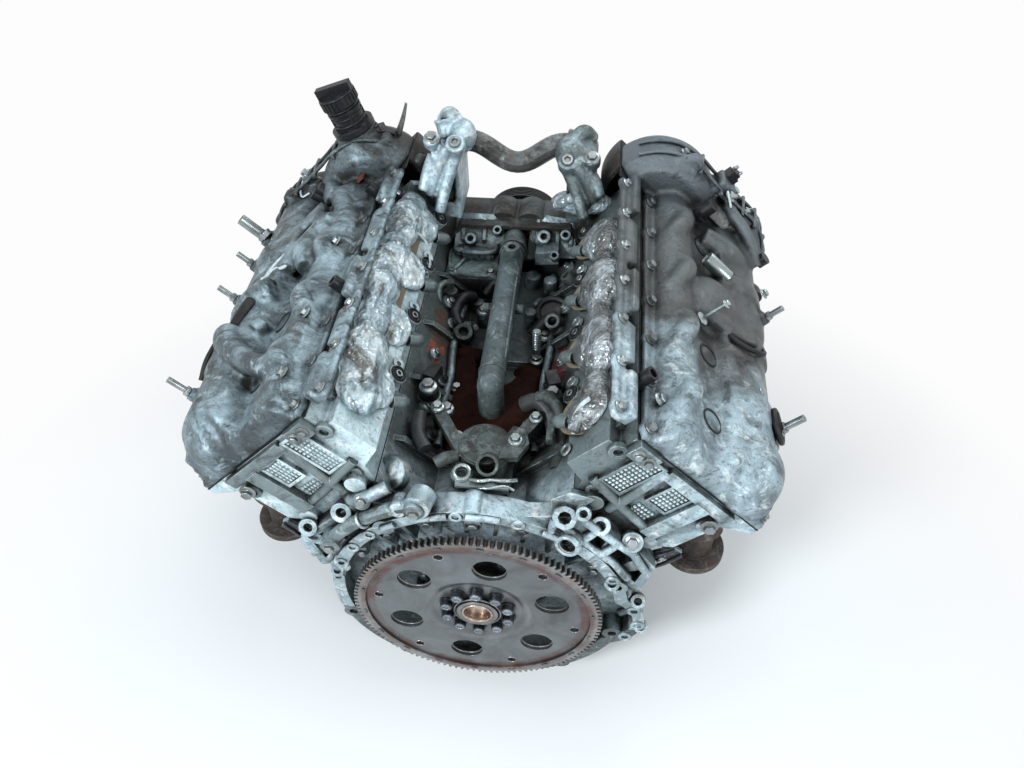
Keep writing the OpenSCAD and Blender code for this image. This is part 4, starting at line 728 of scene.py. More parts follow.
def cover_forms(bank):
    """What both covers have: the stepped rail along the intake edge and the rolls between the plug wells."""
    b = Bag()
    rail = FRONT_Y - HEAD_Y - 30
    b.box(bank.at(COVER_U + 2, FLANGE_V + 7, HEAD_Y + rail / 2), (14, rail, 9), bank.across)
    for y in SCREW_Y:
        b.cyl(bank.at(COVER_U - 1, FLANGE_V + 5, y), bank.u, 11, 9, 20)
    bars = ((HEAD_Y + 4, 96, 13), (112, 176, 8), (196, 268, 14), (288, 372, 9), (392, FRONT_Y - 18, 13))
    for y0, y1, rise in bars:
        middle = bank.at(COVER_U + rise / 2, FLANGE_V + 19, (y0 + y1) / 2)
        b.box(middle, (13, y1 - y0, rise + 6), bank.across)
    for y in bank.ports:
        b.tube(bank.run((COVER_U + 16, -64, y - 30), (COVER_U + 34, -58, y - 6), (COVER_U + 35, -50, y + 22),
                        (COVER_U + 20, -60, y + 46)), 15, 14)
        b.cyl(bank.at(COVER_U + 20, -8, y), bank.u, 23, 13, 28, round_off=3)
    return b


def left_cover():
    b = cover_forms(LEFT)
    # over the exhaust camshaft: a fold at the back, a flat box, the swelling before the front dome
    b.tube(LEFT.run((421, 52, 196), (420, 40, 172), (404, 2, 132), (384, -50, 96)), lambda s: 20 - 6 * s, 18)
    b.ball(LEFT.at(374, 58, 66), (42, 52, 46), LEFT.across, 16)
    b.tube(LEFT.run((408, 70, 250), (412, 40, 262), (404, 10, 270)), 20, 16)
    b.tube(LEFT.run((398, 8, 206), (406, 16, 192)), 12, 18, 2)
    b.box(LEFT.at(402, 24, 352), (64, 92, 22), LEFT.across)
    b.box(LEFT.at(398, -6, 404), (60, 40, 20), LEFT.across)
    b.tube(LEFT.run((402, 84, 330), (412, 60, 338), (410, 20, 346), (392, -18, 352)), 11, 14)
    b.tube(LEFT.run((388, -28, 300), (398, -20, 330), (392, -30, 368), (384, -40, 400)), 15, 14)
    b.tube(LEFT.run((388, -38, 440), (398, -28, 470), (396, -30, 492)), 17, 16)
    b.cyl(LEFT.at(398, 12, 404), LEFT.u + Y * 0.2, 13, 9, 24)
    for y, v in ((40, 96), (214, 100), (300, 102), (470, 98)):
        b.cyl(LEFT.at(COVER_U + 30, v - 2, y), LEFT.u, 11, 14, 20)
    # lugs and a rib round the front dome
    for a in DOME_SCREWS:
        b.cyl(LEFT.around(DOME_U, EXHAUST_DOME_V, FRONT_Y + 22, 80, a), REAR, 10, 22, 18)
    for a in (-60, -100):
        b.cyl(LEFT.around(DOME_U, INTAKE_DOME_V, FRONT_Y + 22, 80, math.radians(a)), REAR, 10, 22, 18)
    b.tube(LEFT.run((420, -92, FRONT_Y + 4), (410, -100, FRONT_Y + 14), (372, -112, FRONT_Y + 16)), 7, 10)
    fused("left_cover_casting", ["left_valve_cover"], b, 3.0, 8, "cover_left", keep=0.6)


def right_cover():
    b = cover_forms(RIGHT)
    lid = RIGHT.u - RIGHT.v * 0.3 + Y * 0.5
    side_lid = RIGHT.u + RIGHT.v * 0.4
    b.tube(RIGHT.run((392, 70, 402), (400, 30, 412), (388, -14, 420)), 16, 16)
    b.ball(RIGHT.at(380, 6, 292), (46, 50.6, 28.52), RIGHT.across)
    b.ball(RIGHT.at(388, 66, 300), (34, 51, 23.8), RIGHT.across)
    b.tube(RIGHT.run((386, 60, 236), (398, 32, 246), (392, -6, 256), (374, -38, 262)), 11, 14)
    b.ring(RIGHT.at(392, 40, 246), lid, 30, 5)
    b.ring(RIGHT.at(398, 88, 137), side_lid, 26, 5)
    b.cyl(RIGHT.at(388, 84, 137), side_lid, 24, 12, 30)
    b.box(RIGHT.at(386, 40, 372), (60, 60, 30), RIGHT.across)
    b.ball(RIGHT.at(374, 64, 62), (40, 48, 44), RIGHT.across, 16)
    # front: an ear and a rib inside the dome, lugs round its edge
    b.tube(RIGHT.run((430, -66, FRONT_Y + 6), (414, -92, FRONT_Y + 4), (372, -106, FRONT_Y + 2)), 8, 12)
    b.cyl(RIGHT.at(424, -72, FRONT_Y - 2), Y, 13, 18, 20)
    b.box(RIGHT.at(428, -10, FRONT_Y + 20), (30, 34, 22), RIGHT.across)
    b.tube(RIGHT.run((416, 10, FRONT_Y + 4), (420, 48, FRONT_Y - 30), (408, 84, FRONT_Y - 60)), 9, 12)
    for a in (-60, -25, 10, 45, 80, 115):
        b.cyl(RIGHT.around(DOME_U, EXHAUST_DOME_V, FRONT_Y + 24, 79, math.radians(a)), REAR, 9, 22, 18)
    fused("right_cover_casting", ["right_valve_cover"], b, 3.0, 6, "cover_right", keep=0.6)


def dome_ribs(bank):
    """Thin ribs round and along a front dome, which stay sharp over the smoothed casting."""
    ribs = Bag()
    for y in (FRONT_Y + 4, FRONT_Y + 32):
        arc = [bank.around(DOME_U, INTAKE_DOME_V, y, 82, a) for a in (-1.15, -0.8, -0.45, 0.0)]
        arc += [bank.at(427, v, y) for v in (-30, 0, 30)]
        arc += [bank.around(DOME_U, EXHAUST_DOME_V, y, 82, a) for a in (0.0, 0.4, 0.8)]
        ribs.tube(arc, 2.6, 10)
    for v in (-60, -14, 34, 62):
        rib = bank.run((425, v, FRONT_Y - 6), (428, v, FRONT_Y + 14), (427, v + 6, FRONT_Y + 44))
        ribs.tube(rib, 3.0, 10)
    ribs.cyl(bank.at(420, 8, FRONT_Y + 18), bank.u, 11, 12, 22, round_off=2)
    ribs.cyl(bank.at(412, -88, FRONT_Y + 18), bank.u, 8, 8, 20, round_off=1.5)
    piece(bank.name + "_dome_ribs", ribs, "cover_" + bank.name)


def cover_fittings():
    screws = Bag()
    for bank in BANKS:
        screws.bolt(bank.at(432, 8, FRONT_Y + 18), bank.u, 6, 0.4)
        screws.bolt(bank.at(421, -88, FRONT_Y + 18), bank.u, 5, 0.1)
    for bank in BANKS:
        for y in SCREW_Y:
            screws.bolt(bank.at(COVER_U + 8, FLANGE_V + 5, y), bank.u, 5.0, 0.02 * y)
        for a in DOME_SCREWS:
            screws.bolt(bank.around(DOME_U, EXHAUST_DOME_V, FRONT_Y + 22, 80, a), Y, 5, math.degrees(a))
    for bank, *p in ((LEFT, -217, 326, 318), (LEFT, -220, 184, 319), (LEFT, -219, 82, 319),
                     (RIGHT, 203, 80, 316)):
        screws.bolt(p, bank.u, 6, 0.2)
    for p, r in (((431, -2, FRONT_Y - 4), 6), ((404, 60, 170), 5), ((428, 40, FRONT_Y + 8), 5)):
        screws.bolt(RIGHT.at(*p), RIGHT.u, r)
    piece("cover_screws", screws, "bright_bolts")

    seals = Bag()
    # a slot with a rubber strip and two seams in the left cover, ring seals on the right one
    slot = LEFT.run((412, 16, 286), (421, 30, 250), (424, 44, 214), (422, 52, 196))
    seals.tube(slot, lambda s: 10 - 5 * s, 12, flat=0.45)
    seals.tube(LEFT.run((430, 60, 186), (428, 74, 160), (420, 88, 140)), 3.5, 8)
    seals.tube(LEFT.run((395, -8, 440), (400, 6, 390), (402, -2, 330), (394, -30, 300)), 2.6, 8)
    seals.ring(RIGHT.at(404, 42, 244), RIGHT.u - RIGHT.v * 0.3 + Y * 0.5, 27, 3.2)
    seals.ring(RIGHT.at(402, 36, 252), RIGHT.u - RIGHT.v * 0.3 + Y * 0.5, 22, 2.4)
    seals.ring(RIGHT.at(406, 92, 137), RIGHT.u + RIGHT.v * 0.4, 20, 3.4)
    seals.loop(RIGHT.run((409, 90, 120), (405, 100, 137), (409, 90, 154), (412, 84, 137)), 2.2)
    piece("cover_seals", seals, "rubber")

    # a white gasket loop on the left cover, and streaks of sealant on both
    white = Bag()
    white.loop(LEFT.run((408, 0, 306), (412, 22, 314), (416, 30, 300), (414, 24, 322), (410, 4, 336),
                        (404, -8, 326)), 2.6)
    white.tube(LEFT.run((417, 32, 296), (414, 24, 286), (410, 14, 284)), 4.5, 10)
    white.tube(RIGHT.run((434, -10, FRONT_Y - 2), (430, 0, FRONT_Y - 26)), 1.6, 6)
    white.tube(LEFT.run((430, 20, FRONT_Y + 30), (424, 28, FRONT_Y + 6), (418, 26, FRONT_Y - 8),
                        (414, 14, FRONT_Y - 6)), 1.6, 6)
    white.tube(RIGHT.run((404, 84, 300), (400, 96, 320), (396, 104, 350)), 2.2, 6)
    piece("cover_sealant", white, "white_strip")


left_cover()
right_cover()
for bank in BANKS:
    dome_ribs(bank)
cover_fittings()

# ---------------------------------------------------------------- heads


def waffle(b, bank, v0, v1, u0, u1, y, step=5.4):
    """A grid of small raised squares on a rear face."""
    n, m = max(1, int((v1 - v0) / step)), max(1, int((u1 - u0) / step))
    for i in range(n):
        for j in range(m):
            c = bank.at(u0 + (j + 0.5) * (u1 - u0) / m, v0 + (i + 0.5) * (v1 - v0) / n, y)
            b.rings([[c - Y * rise + bank.v * across * half + bank.u * up * half
                      for across, up in ((-1, -1), (1, -1), (1, 1), (-1, 1))]
                     for rise, half in ((0, step * 0.37), (2.4, step * 0.27))])


def head_forms():
    grid, cast, screws = Bag(), Bag(), Bag()
    for bank in BANKS:
        u, v = bank.u, bank.v
        waffle(grid, bank, -70, -42, DECK_U + 48, DECK_U + 110, HEAD_Y - 2.5)
        waffle(grid, bank, -10, 18, DECK_U + 64, DECK_U + 110, HEAD_Y - 2.5)
        waffle(grid, bank, -10, 18, DECK_U + 20, DECK_U + 50, HEAD_Y - 0.5)
        # pads, bars, lugs and pipe ends on the rear face
        cast.box(bank.at(CAM_U - 9, 20, HEAD_Y - 3), (110, 10, 16), bank.across)
        cast.box(bank.at(CAM_U - 8, -74, HEAD_Y - 4), (34, 12, 22), bank.across)
        cast.box(bank.at(DECK_U + 64, 34, HEAD_Y - 4), (22, 14, 84), bank.across)
        cast.tube(bank.run((DECK_U + 112, -34, HEAD_Y - 1), (DECK_U + 80, -32, HEAD_Y - 3),
                           (DECK_U + 44, -28, HEAD_Y - 4), (DECK_U + 16, -26, HEAD_Y - 2)), 7, 12)
        cast.tube(bank.run((DECK_U + 40, -78, HEAD_Y - 2), (DECK_U + 38, -50, HEAD_Y - 5),
                           (DECK_U + 30, -10, HEAD_Y - 3), (DECK_U + 26, 30, HEAD_Y - 3)), 6.5, 12)
        for across, up, r, h in ((-94, 92, 11, 7), (66, 84, 11, 9), (-60, 26, 10, 6)):
            cast.pipe(bank.at(DECK_U + up, across, HEAD_Y + 2), REAR, r, r * 0.5, h, 22)
        screws.bolt(bank.at(CAM_U - 8, -66, HEAD_Y - 10), REAR, 5)
        screws.bolt(bank.at(CAM_U - 8, -82, HEAD_Y - 10), REAR, 5, 0.4)
        screws.bolt(bank.at(DECK_U + 92, 62, HEAD_Y - 12), REAR, 7, 0.2)
        for y in bank.ports:
            # intake ledge: screw pockets and ribs between the cover and the ports
            cast.cyl(bank.at(CAM_U - 26, -104, y + 34), u, 10, 9, 20, round_off=2)
            screws.socket(bank.at(CAM_U - 17, -104, y + 34), u, 6.5, 6)
            cast.box(bank.at(CAM_U - 21, -98, y - 12), (10, 58, 8), bank.across)
            # a web on the valley side, below each port
            cast.tube(bank.run((PORT_U - 30, INTAKE_V - 1, y - 6), (PORT_U - 44, INTAKE_V - 4, y + 2),
                               (DECK_U + 30, INTAKE_V + 4, y + 6)), 8, 12)
        for y in bank.ports:
            # exhaust side: lugs for the manifold nuts and ribs between the ports
            for d in (-38, 38):
                cast.cyl(bank.at(DECK_U + 44, 84, y + d), v, 10, 9, 18)
                screws.bolt(bank.at(DECK_U + 44, 93, y + d), v, 6)
            cast.box(bank.at(DECK_U + 84, 88, y + PITCH / 2), (12, 10, 36), bank.across)
        # front face
        for up in (30, 62, 96):
            cast.cyl(bank.at(DECK_U + up, -84, FRONT_Y - 3), Y, 11, 10, 20)
        cast.cyl(bank.at(DECK_U + 44, 66, FRONT_Y - 3), Y, 17, 12, 26)
    piece("rear_waffles", grid, "waffle", angle=20)
    piece("head_bosses", cast, "head_right")
    piece("head_screws", screws, "bright_bolts")


def injectors_and_gaskets():
    """Injector mouths with their rubber rings, and on the right the scalloped paper edges of the gasket."""
    rubber, tips, paper, eyelets = Bag(), Bag(), Bag(), Bag()
    for bank in BANKS:
        v = bank.v
        for y in bank.ports:
            c = bank.at(DECK_U + 34, INTAKE_V - 4, y + 36)
            rubber.ring(c - v * 0.8, v, 9.2, 1.8, 28)
            rubber.cyl(c + v * 1.5, -v, 6.8, 1.2, 20)
            tips.pipe(c + v * 1.5, -v, 5.0, 2.6, 4.5, 18)
    for y in RIGHT.ports:
        edge = []
        for k in range(13):
            a = math.radians(100 + k * 13.5)
            r = PORT_REACH + 6 + 3.0 * math.cos(3 * (a - math.pi))
            edge.append(RIGHT.at(PORT_U + r * math.cos(a), INTAKE_V - 1.4, y + r * math.sin(a)))
        paper.tube(edge, 3.6, 6, 3, flat=0.4)
        eyelets.ring(RIGHT.at(PORT_U - 30, INTAKE_V - 2, y - PITCH / 2 + 6), RIGHT.v, 6, 2.0, 20, 6)
    piece("injector_rings", rubber, "rubber")
    piece("injector_tips", tips, "bright_bolts")
    piece("port_gasket_edges", paper, "intake_gaskets")
    piece("gasket_eyelets", eyelets, "bright_bolts")


head_forms()
injectors_and_gaskets()

# ---------------------------------------------------------------- film and foil over the intake ports


def mask(bank, name, heaps, tails, depth, size):
    """A skin over the four ports: a low dome on each, and the crumpled heaps that lie along them."""
    b = Bag()
    for y in bank.ports:
        b.ball(bank.at(PORT_U, INTAKE_V, y), (PORT_REACH + 1, PORT_REACH + 3, 9), bank.along)
    for up, y, *radii in heaps:
        b.ball(bank.at(PORT_U + up, INTAKE_V - 1, y), radii, bank.along)
    for points, r in tails:
        b.tube([bank.at(PORT_U + up, INTAKE_V - out, y) for up, out, y in points], r, 12)
    o = fused(name, [], b, 2.6, 2, "port_masks_" + bank.name, keep=0.8)
    crumple(o.data, -bank.v, size, depth / MM_PER_M, 1.0 + bank.side)
    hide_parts(bank.name + "_port_masks")


mask(LEFT, "left_port_film",
     [(14, 88, 30, 36, 19), (22, 132, 30, 50, 23), (26, 196, 22, 46, 18), (28, 262, 27, 52, 22),
      (26, 330, 22, 44, 17), (24, 392, 26, 50, 20), (18, 440, 20, 26, 13), (38, 300, 16, 34, 15)],
     [([(34, 8, 150), (38, 12, 210), (34, 8, 280)], 9), ([(2, 8, 62), (16, 14, 96), (8, 12, 150)], 9)],
     4.6, 48)
mask(RIGHT, "right_port_foil",
     [(12, 388, 31, 38, 19), (15, 290, 35, 46, 23), (16, 182, 35, 52, 23), (12, 108, 20, 40, 13),
      (12, 340, 16, 26, 12), (10, 236, 17, 28, 13)],
     [([(14, 8, 124), (4, 8, 84), (-14, 6, 56)], 8)], 3.4, 66)

scraps = Bag()
scraps.ball(LEFT.at(PORT_U + 40, -96, LEFT.ports[1] + 62), (22, 20, 20), LEFT.along)
scraps.ball((98, 478, 290), (44, 20, 17))
scraps.tube([(62, 470, 286), (90, 466, 306), (124, 474, 300), (138, 486, 282)], 8, 10)
crumple(piece("foil_scraps", scraps, "foil").data, Z, 90, 0.004, 2.0)

strips = Bag()
longest = [(-128, 372, 306), (-118, 376, 300), (-106, 368, 288), (-101, 352, 272), (-104, 340, 262)]
strips.tube(longest, 2.6, 8, flat=0.5)
strips.tube([(127, 84, 308), (116, 78, 298), (110, 68, 284), (111, 60, 274)], 3.0, 8, flat=0.6)
strips.tube([(-144, 470, 318), (-132, 478, 312), (-118, 474, 308)], 5, 8, flat=0.5)
piece("film_tails", strips, "white_strip")

# ---------------------------------------------------------------- front coolant castings


def coolant_casting(bank, look):
    """Legs with a web, two screw bosses and the collar of the pipe, grown onto the solid."""
    low, high = extent(bank.name + "_coolant_outlet")
    x0, x1 = sorted((bank.side * low[0], bank.side * high[0]))
    y0, y1, z0, z1 = low[1], high[1], low[2], high[2]

    def at(x, y, z):
        return Vector((bank.side * x, y, z))

    b = Bag()
    legs = ((at(x0 + 2, y0 + 6, z1 - 20), at(x0 + 30, y0 - 22, z0 + 30)),
            (at(x0 + 16, y0 + 2, z1 - 14), at(x0 + 44, y0 - 10, z0 + 50)),
            (at(x1 - 8, y0 + 8, z1 - 30), at(x1 + 6, y0 - 16, z0 + 60)))
    for top, foot in legs:
        b.tube([top, (top + foot) / 2 + Vector((0, 2, 4)), foot], 8.5, 12)
    web = (at(x0 + 6, y0 + 2, z1 - 26), at(x0 + 38, y0 - 4, z1 - 22), at(x0 + 40, y0 - 12, z0 + 40),
           at(x0 + 24, y0 - 14, z0 + 34))
    b.slab(web, Y, 8)
    b.cyl(at(x0 + 4, y0 + 8, z1 - 18), (0, -0.5, 0.86), 14, 16, 24)
    b.cyl(at(x1 - 8, y0 + 12, z1 - 16), (0, -0.4, 0.9), 12, 16, 24)
    b.tube([at(x0 - 2, y1 - 44, z1 - 30), at(x0 + 20, y1 - 20, z1 - 6), at(x0 + 34, y1 - 8, z1 - 22)], 12, 14)
    b.ball(at(x0 + 2, (y0 + y1) / 2 + 8, z1 - 26), (19.2, 24, 24))
    fused(bank.name + "_coolant_casting", [bank.name + "_coolant_outlet"], b, 2.4, 3, look, keep=0.7)
    screws = Bag()
    screws.bolt(at(x1 - 8, y0 + 5.6, z1 - 1.6), (0, -0.4, 0.9), 7)
    screws.socket(at(x0 + 4, y0, z1 - 4), (0, -0.5, 0.86), 8, 4)
    piece(bank.name + "_coolant_screws", screws, "bright_bolts")


coolant_casting(LEFT, "coolant_left")
coolant_casting(RIGHT, "coolant_castings")

# ---------------------------------------------------------------- valley


def sludge():
    """The brown pool on the floor, with lumps at its edge."""
    b = Bag()
    shore = [(-54, 124), (-60, 156), (-62, 196), (-64, 240), (-66, 276), (-60, 300), (-46, 306), (-36, 286),
             (-32, 254), (-20, 240), (0, 236), (18, 240), (28, 254), (36, 278), (48, 290), (58, 272),
             (58, 236), (60, 200), (60, 164), (54, 130), (38, 112), (12, 104), (-16, 106), (-40, 112)]
    cx, cy = -2, 190
    levels = ((1.0, -6), (1.0, 3), (0.97, 9), (0.88, 13), (0.7, 15), (0.5, 16), (0.3, 16), (0.12, 16))
    b.rings([[(cx + (x - cx) * share, cy + (y - cy) * share, VALLEY_Z + h) for x, y in shore]
             for share, h in levels])
    lumps = ((-44, 290, 8, 20, 3, 0.5), (42, 262, 8, 18, 7, 0.5), (30, 214, 12, 20, 9, 0.3),
             (-30, 224, 12, 22, 8, 0.3))
    for x, y, h, size, seed, flat in lumps:
        b.knot((x, y, VALLEY_Z + h), Z, size, seed, 20, flat)
    o = fused("valley_sludge", [], b, 2.6, 5, "rust_pool")
    crumple(o.data, Z, 30, 0.0012, 5.0)


def wall_patch(look, wall, sink, n, flat, *lumps):
    """Flat lumps on one of the valley's walls, sunk into it so that only their tops show."""
    b = Bag()
    for x, y, z, size, seed in lumps:
        b.knot(Vector((x, y, z)) - wall * sink, wall, size, seed, n, flat)
    piece(look, b, look)


def back_plates():
    """Stepped plates, ribs and pipe ends behind the far end of the pipe."""
    b = Bag()
    tilt = (0, -0.7, 0.7)
    b.slab([(-92, 478, 190), (-14, 480, 190), (-16, 508, 214), (-34, 516, 236), (-88, 516, 236)], tilt, 9)
    b.slab([(18, 476, 186), (92, 478, 190), (88, 516, 232), (46, 516, 238), (22, 506, 214)], tilt, 9)
    b.box((50, 470, 204), (34, 26, 22), ((1, 0, 0.1), Y, Z))
    b.box((-52, 466, 200), (46, 18, 14), ((1, 0, -0.1), Y, Z))
    b.box((2, 500, 190), (60, 12, 40))
    for x in (-78, -46, 34, 64, 84):
        b.box((x, 494, 214), (5, 34, 26), (X, (0, 0.72, 0.7), Z))
    for x, y, z, r in ((-66, 486, 208, 9), (-26, 494, 220, 7), (44, 488, 216, 10), (76, 492, 218, 8),
                       (62, 458, 206, 7)):
        b.pipe((x, y, z), (0, -0.6, 0.8), r, r * 0.5, 16, 20)
    b.tube([(-88, 470, 204), (-60, 456, 210), (-30, 462, 208), (-24, 484, 204)], 4, 10)
    piece("valley_back_plates", b, "dark_cast")


LEFT_WALL, RIGHT_WALL = Vector((COS_45, 0, COS_45)), Vector((-COS_45, 0, COS_45))


def floor_and_walls(cast, bright, dark):
    """Bosses and screws on the floor, and rows of them up both walls."""
    bosses = ((-58, 176, 10, 22), (-52, 222, 8, 14), (50, 282, 10, 16), (58, 330, 11, 18), (-56, 338, 12, 20),
              (-34, 366, 10, 26), (34, 366, 9, 30), (48, 400, 12, 18), (-46, 396, 9, 18), (52, 152, 9, 30),
              (-30, 128, 9, 12), (36, 110, 9, 20), (58, 432, 10, 36), (-14, 470, 9, 36), (30, 460, 12, 20))
    for x, y, r, h in bosses:
        cast.cyl((x, y, 146), Z, r, h + 4, 22, round_off=2)
    for x, y, z, r in ((-58, 176, 172, 7), (-52, 222, 164, 5.5), (50, 282, 166, 7), (-34, 366, 176, 6),
                       (52, 152, 180, 5), (58, 330, 168, 6), (36, 110, 170, 6), (-14, 470, 186, 6)):
        bright.bolt((x, y, z), Z, r, 0.37 * x)
    rows = ((132, 0), (168, 12), (228, 2), (262, 16), (336, 4), (372, 14), (440, 4), (468, 12))
    for side, wall in ((-1, LEFT_WALL), (1, RIGHT_WALL)):
        for k, (y, up) in enumerate(rows):
            c = Vector((side * (72 + up), y, VALLEY_Z + 18 + up))
            cast.cyl(c - wall * 8, wall, 9 + k % 3, 13, 18, round_off=2)
            (bright if k % 2 else dark).bolt(c + wall * 5, wall, 5, k)
        # a pipe cast into the wall
        way = ((62, 120, 162), (66, 180, 166), (64, 240, 164), (68, 300, 168), (66, 380, 166), (60, 470, 160))
        cast.tube([(side * x, y, z) for x, y, z in way], 6, 12)


def knock_sensor_tops(bright, dark):
    """Steel sleeve and screw over each black ring, and the connector that lies beside it."""
    low, high = extent("knock_sensors")
    y, z = (low[1] + high[1]) / 2, high[2]
    for side in (-1, 1):
        x = side * (high[0] - 13)
        bright.bolt((x, y, z - 5), Z, 8, 0.2)
        bright.ring((x, y, z - 7.6), Z, 9.5, 1.4)
        plug = (x - side * 2, y + 24, z - 6)
        dark.box(plug, (17, 26, 16), ((0.9, 0.3 * side, 0), (-0.3 * side, 0.9, 0), Z))
        dark.tube([(x, y + 10, z - 8), plug], 7, 12, 2)


def hoses_and_rods(bright, dark, plain):
    """Hoses and rings in the dark corners behind the front castings, a threaded stud and small rods."""
    dark.ring((66, 372, 176), (0, -0.3, 1), 22, 4.5)
    dark.cyl((66, 372, 166), (0, -0.3, 1), 20, 8, 28)
    for points, r in (([(-52, 400, 172), (-66, 384, 182), (-74, 360, 176), (-66, 340, 168)], 8),
                      ([(-36, 410, 170), (-24, 420, 184), (-10, 412, 172)], 6),
                      ([(40, 330, 168), (56, 346, 178), (74, 352, 186)], 9)):
        dark.tube(points, r, 12)
    dark.cyl((86, 300, 182), RIGHT_WALL, 10, 6, 20)
    plain.pipe((72, 344, 176), (-0.2, -0.5, 0.8), 11, 6.5, 22, 22)
    plain.pipe((90, 420, 196), RIGHT_WALL, 10, 5.5, 14, 22)
    plain.pipe((-58, 320, 168), (0.2, -0.4, 0.9), 13, 7, 16, 22)
    bright.cyl((50, 286, 166), (0, 0.12, 1), 5.2, 46, 16)
    for k in range(9):
        bright.ring((50, 286 + k * 0.55, 186 + k * 2.8), (0, 0.12, 1), 5.2, 0.9, 18, 6)
    bright.cyl((-40, 112, 166), (0.75, 0.55, 0.35), 3.4, 30, 12)
    bright.bolt((-38, 130, 168), (0, -0.4, 0.9), 7.5)
    bright.cyl((-46, 344, 168), (0.3, -0.8, 0.5), 4, 22, 12)


def pipe_trim():
    """Beads, a drain boss and a wire along the valley pipe."""
    b = Bag()
    b.ring((0, 452, 214), Y, 17.6, 1.8)
    b.ring((0, 205, 214), Y, 17.2, 1.2)
    b.box((0, 330, 214), (40, 12, 8))
    b.cyl((20, 330, 214), X, 7, 8, 18)
    b.cyl((-20, 330, 214), -X, 7, 8, 18)
    b.tube([(14, 226, 222), (14, 300, 224), (13, 380, 224), (12, 430, 222)], 2.0, 8)
    piece("valley_pipe_trim", b, "valley_pipe")


def oil_plate():
    """Drip edge, ridge, hose and screws of the plate beside the pipe."""
    low, high = extent("valley_plate")
    x0, y0, x1, y1, z = *low[:2], *high
    trim, screws = Bag(), Bag()
    rim = [(x0 + 4, y0 + 4, z), (x1 - 4, y0 + 4, z), (x1 - 4, y1 - 3, z), (x0 + 4, y1 - 3, z)]
    trim.tube([*rim, rim[0]], 2.2, 8, 4)
    trim.tube([(x0 + 10, y0 + 8, z + 1), (x0 + 24, y0 + 36, z + 2), (x0 + 34, y1 - 6, z + 1)], 2.6, 8)
    trim.tube([(x0 + 4, y0 - 6, z - 8), (x0 - 6, y0 - 30, z - 4), (x0 - 2, y0 - 52, z - 12)], 6, 10)
    trim.cyl((x0 + 16, y1 - 14, z - 1), Z, 12, 5, 24, round_off=1.5)
    piece("oil_plate_trim", trim, "valley_plate")
    for x in (x0 + 8, x1 - 8):
        for y in (y0 + 8, y0 + 62):
            screws.bolt((x, y, z), Z, 5)
    screws.bolt((x0 + 16, y1 - 14, z + 4), Z, 6)
    piece("oil_plate_screws", screws, "bright_bolts")


def rear_housing():
    """The plate on its right arm, the elbow with its hose, screws and the edges of the strap."""
    top = VALLEY_Z + 56
    trim, hoses, strap = Bag(), Bag(), Bag()
    outline = ((24, 70), (46, 74), (58, 96), (52, 118), (36, 122), (26, 100))
    trim.slab([(x, y, top - 6) for x, y in outline], Z, 9)
    trim.cyl((41, 98, top), Z, 12, 5, 22, round_off=1)
    trim.cyl((-62, 146, top - 8), Z, 10, 10, 20, round_off=2)
    trim.tube([(-52, 66, 196), (-40, 72, 200), (-26, 76, 200)], 8, 12)
    trim.cyl((4, 92, top - 2), Z, 31, 4, 40, round_off=1.5)
    elbow = [(62, 172, 208), (76, 168, 214), (88, 156, 208), (94, 138, 196), (96, 112, 186), (94, 92, 176)]
    trim.tube(elbow, 8.5, 14)
    trim.ball((77, 168, 212), (10.5, 10.5, 10.5), n=14)
    trim.cyl((95, 100, 182), (0, -0.9, -0.35), 12, 16, 22)
    piece("rear_housing_trim", trim, "arms")
    hoses.tube([(44, 176, 190), (60, 172, 202), (74, 160, 200), (84, 140, 186)], lambda s: 11 - 2 * s, 14)
    hoses.tube([(-70, 92, 190), (-82, 112, 196), (-84, 140, 200)], 9, 12)
    piece("rear_hoses", hoses, "grey_hose")
    strap.bolt((41, 98, top + 5), Z, 6.5)
    strap.bolt((-62, 146, top + 2), Z, 6)
    strap.bolt((62, 140, top), Z, 6)
    strap.ring((-18, 50, VALLEY_Z + 52), (0, -0.2, 1), 9.4, 2.8, 30)
    strap.tube([(-8, 42, 200), (6, 38, 204), (18, 42, 202), (34, 40, 205), (48, 46, 200)], 2.4, 8)
    strap.tube([(2, 34, 196), (16, 32, 199), (34, 36, 200), (46, 34, 196)], 1.8, 8)
    piece("strap_edges", strap, "bright_tube")


sludge()
wall_patch("rust_patch", LEFT_WALL, 4, 28, 0.24, (-88, 268, 184, 19, 1), (-82, 284, 178, 14, 2),
           (-92, 282, 188, 12, 4))
wall_patch("rust_brown_patch", LEFT_WALL, 5, 28, 0.22, (-86, 316, 182, 26, 5), (-88, 342, 184, 20, 6),
           (-84, 296, 180, 22, 9))
wall_patch("red_patch", RIGHT_WALL, 4, 24, 0.24, (82, 262, 180, 19, 6), (84, 240, 181, 15, 2),
           (84, 292, 182, 12, 3))
back_plates()
cast_forms, bright_forms, dark_forms, plain_forms = Bag(), Bag(), Bag(), Bag()
floor_and_walls(cast_forms, bright_forms, dark_forms)
knock_sensor_tops(bright_forms, dark_forms)
hoses_and_rods(bright_forms, dark_forms, plain_forms)
piece("valley_bosses", cast_forms, "dark_cast")
piece("valley_screws", bright_forms, "bright_bolts")
piece("valley_hoses", dark_forms, "black_plastic")
piece("valley_fittings", plain_forms, "arms")
pipe_trim()
oil_plate()
rear_housing()

# ---------------------------------------------------------------- rear of the block


TUBE_AXIS = (-0.25, -0.85, 0.2)


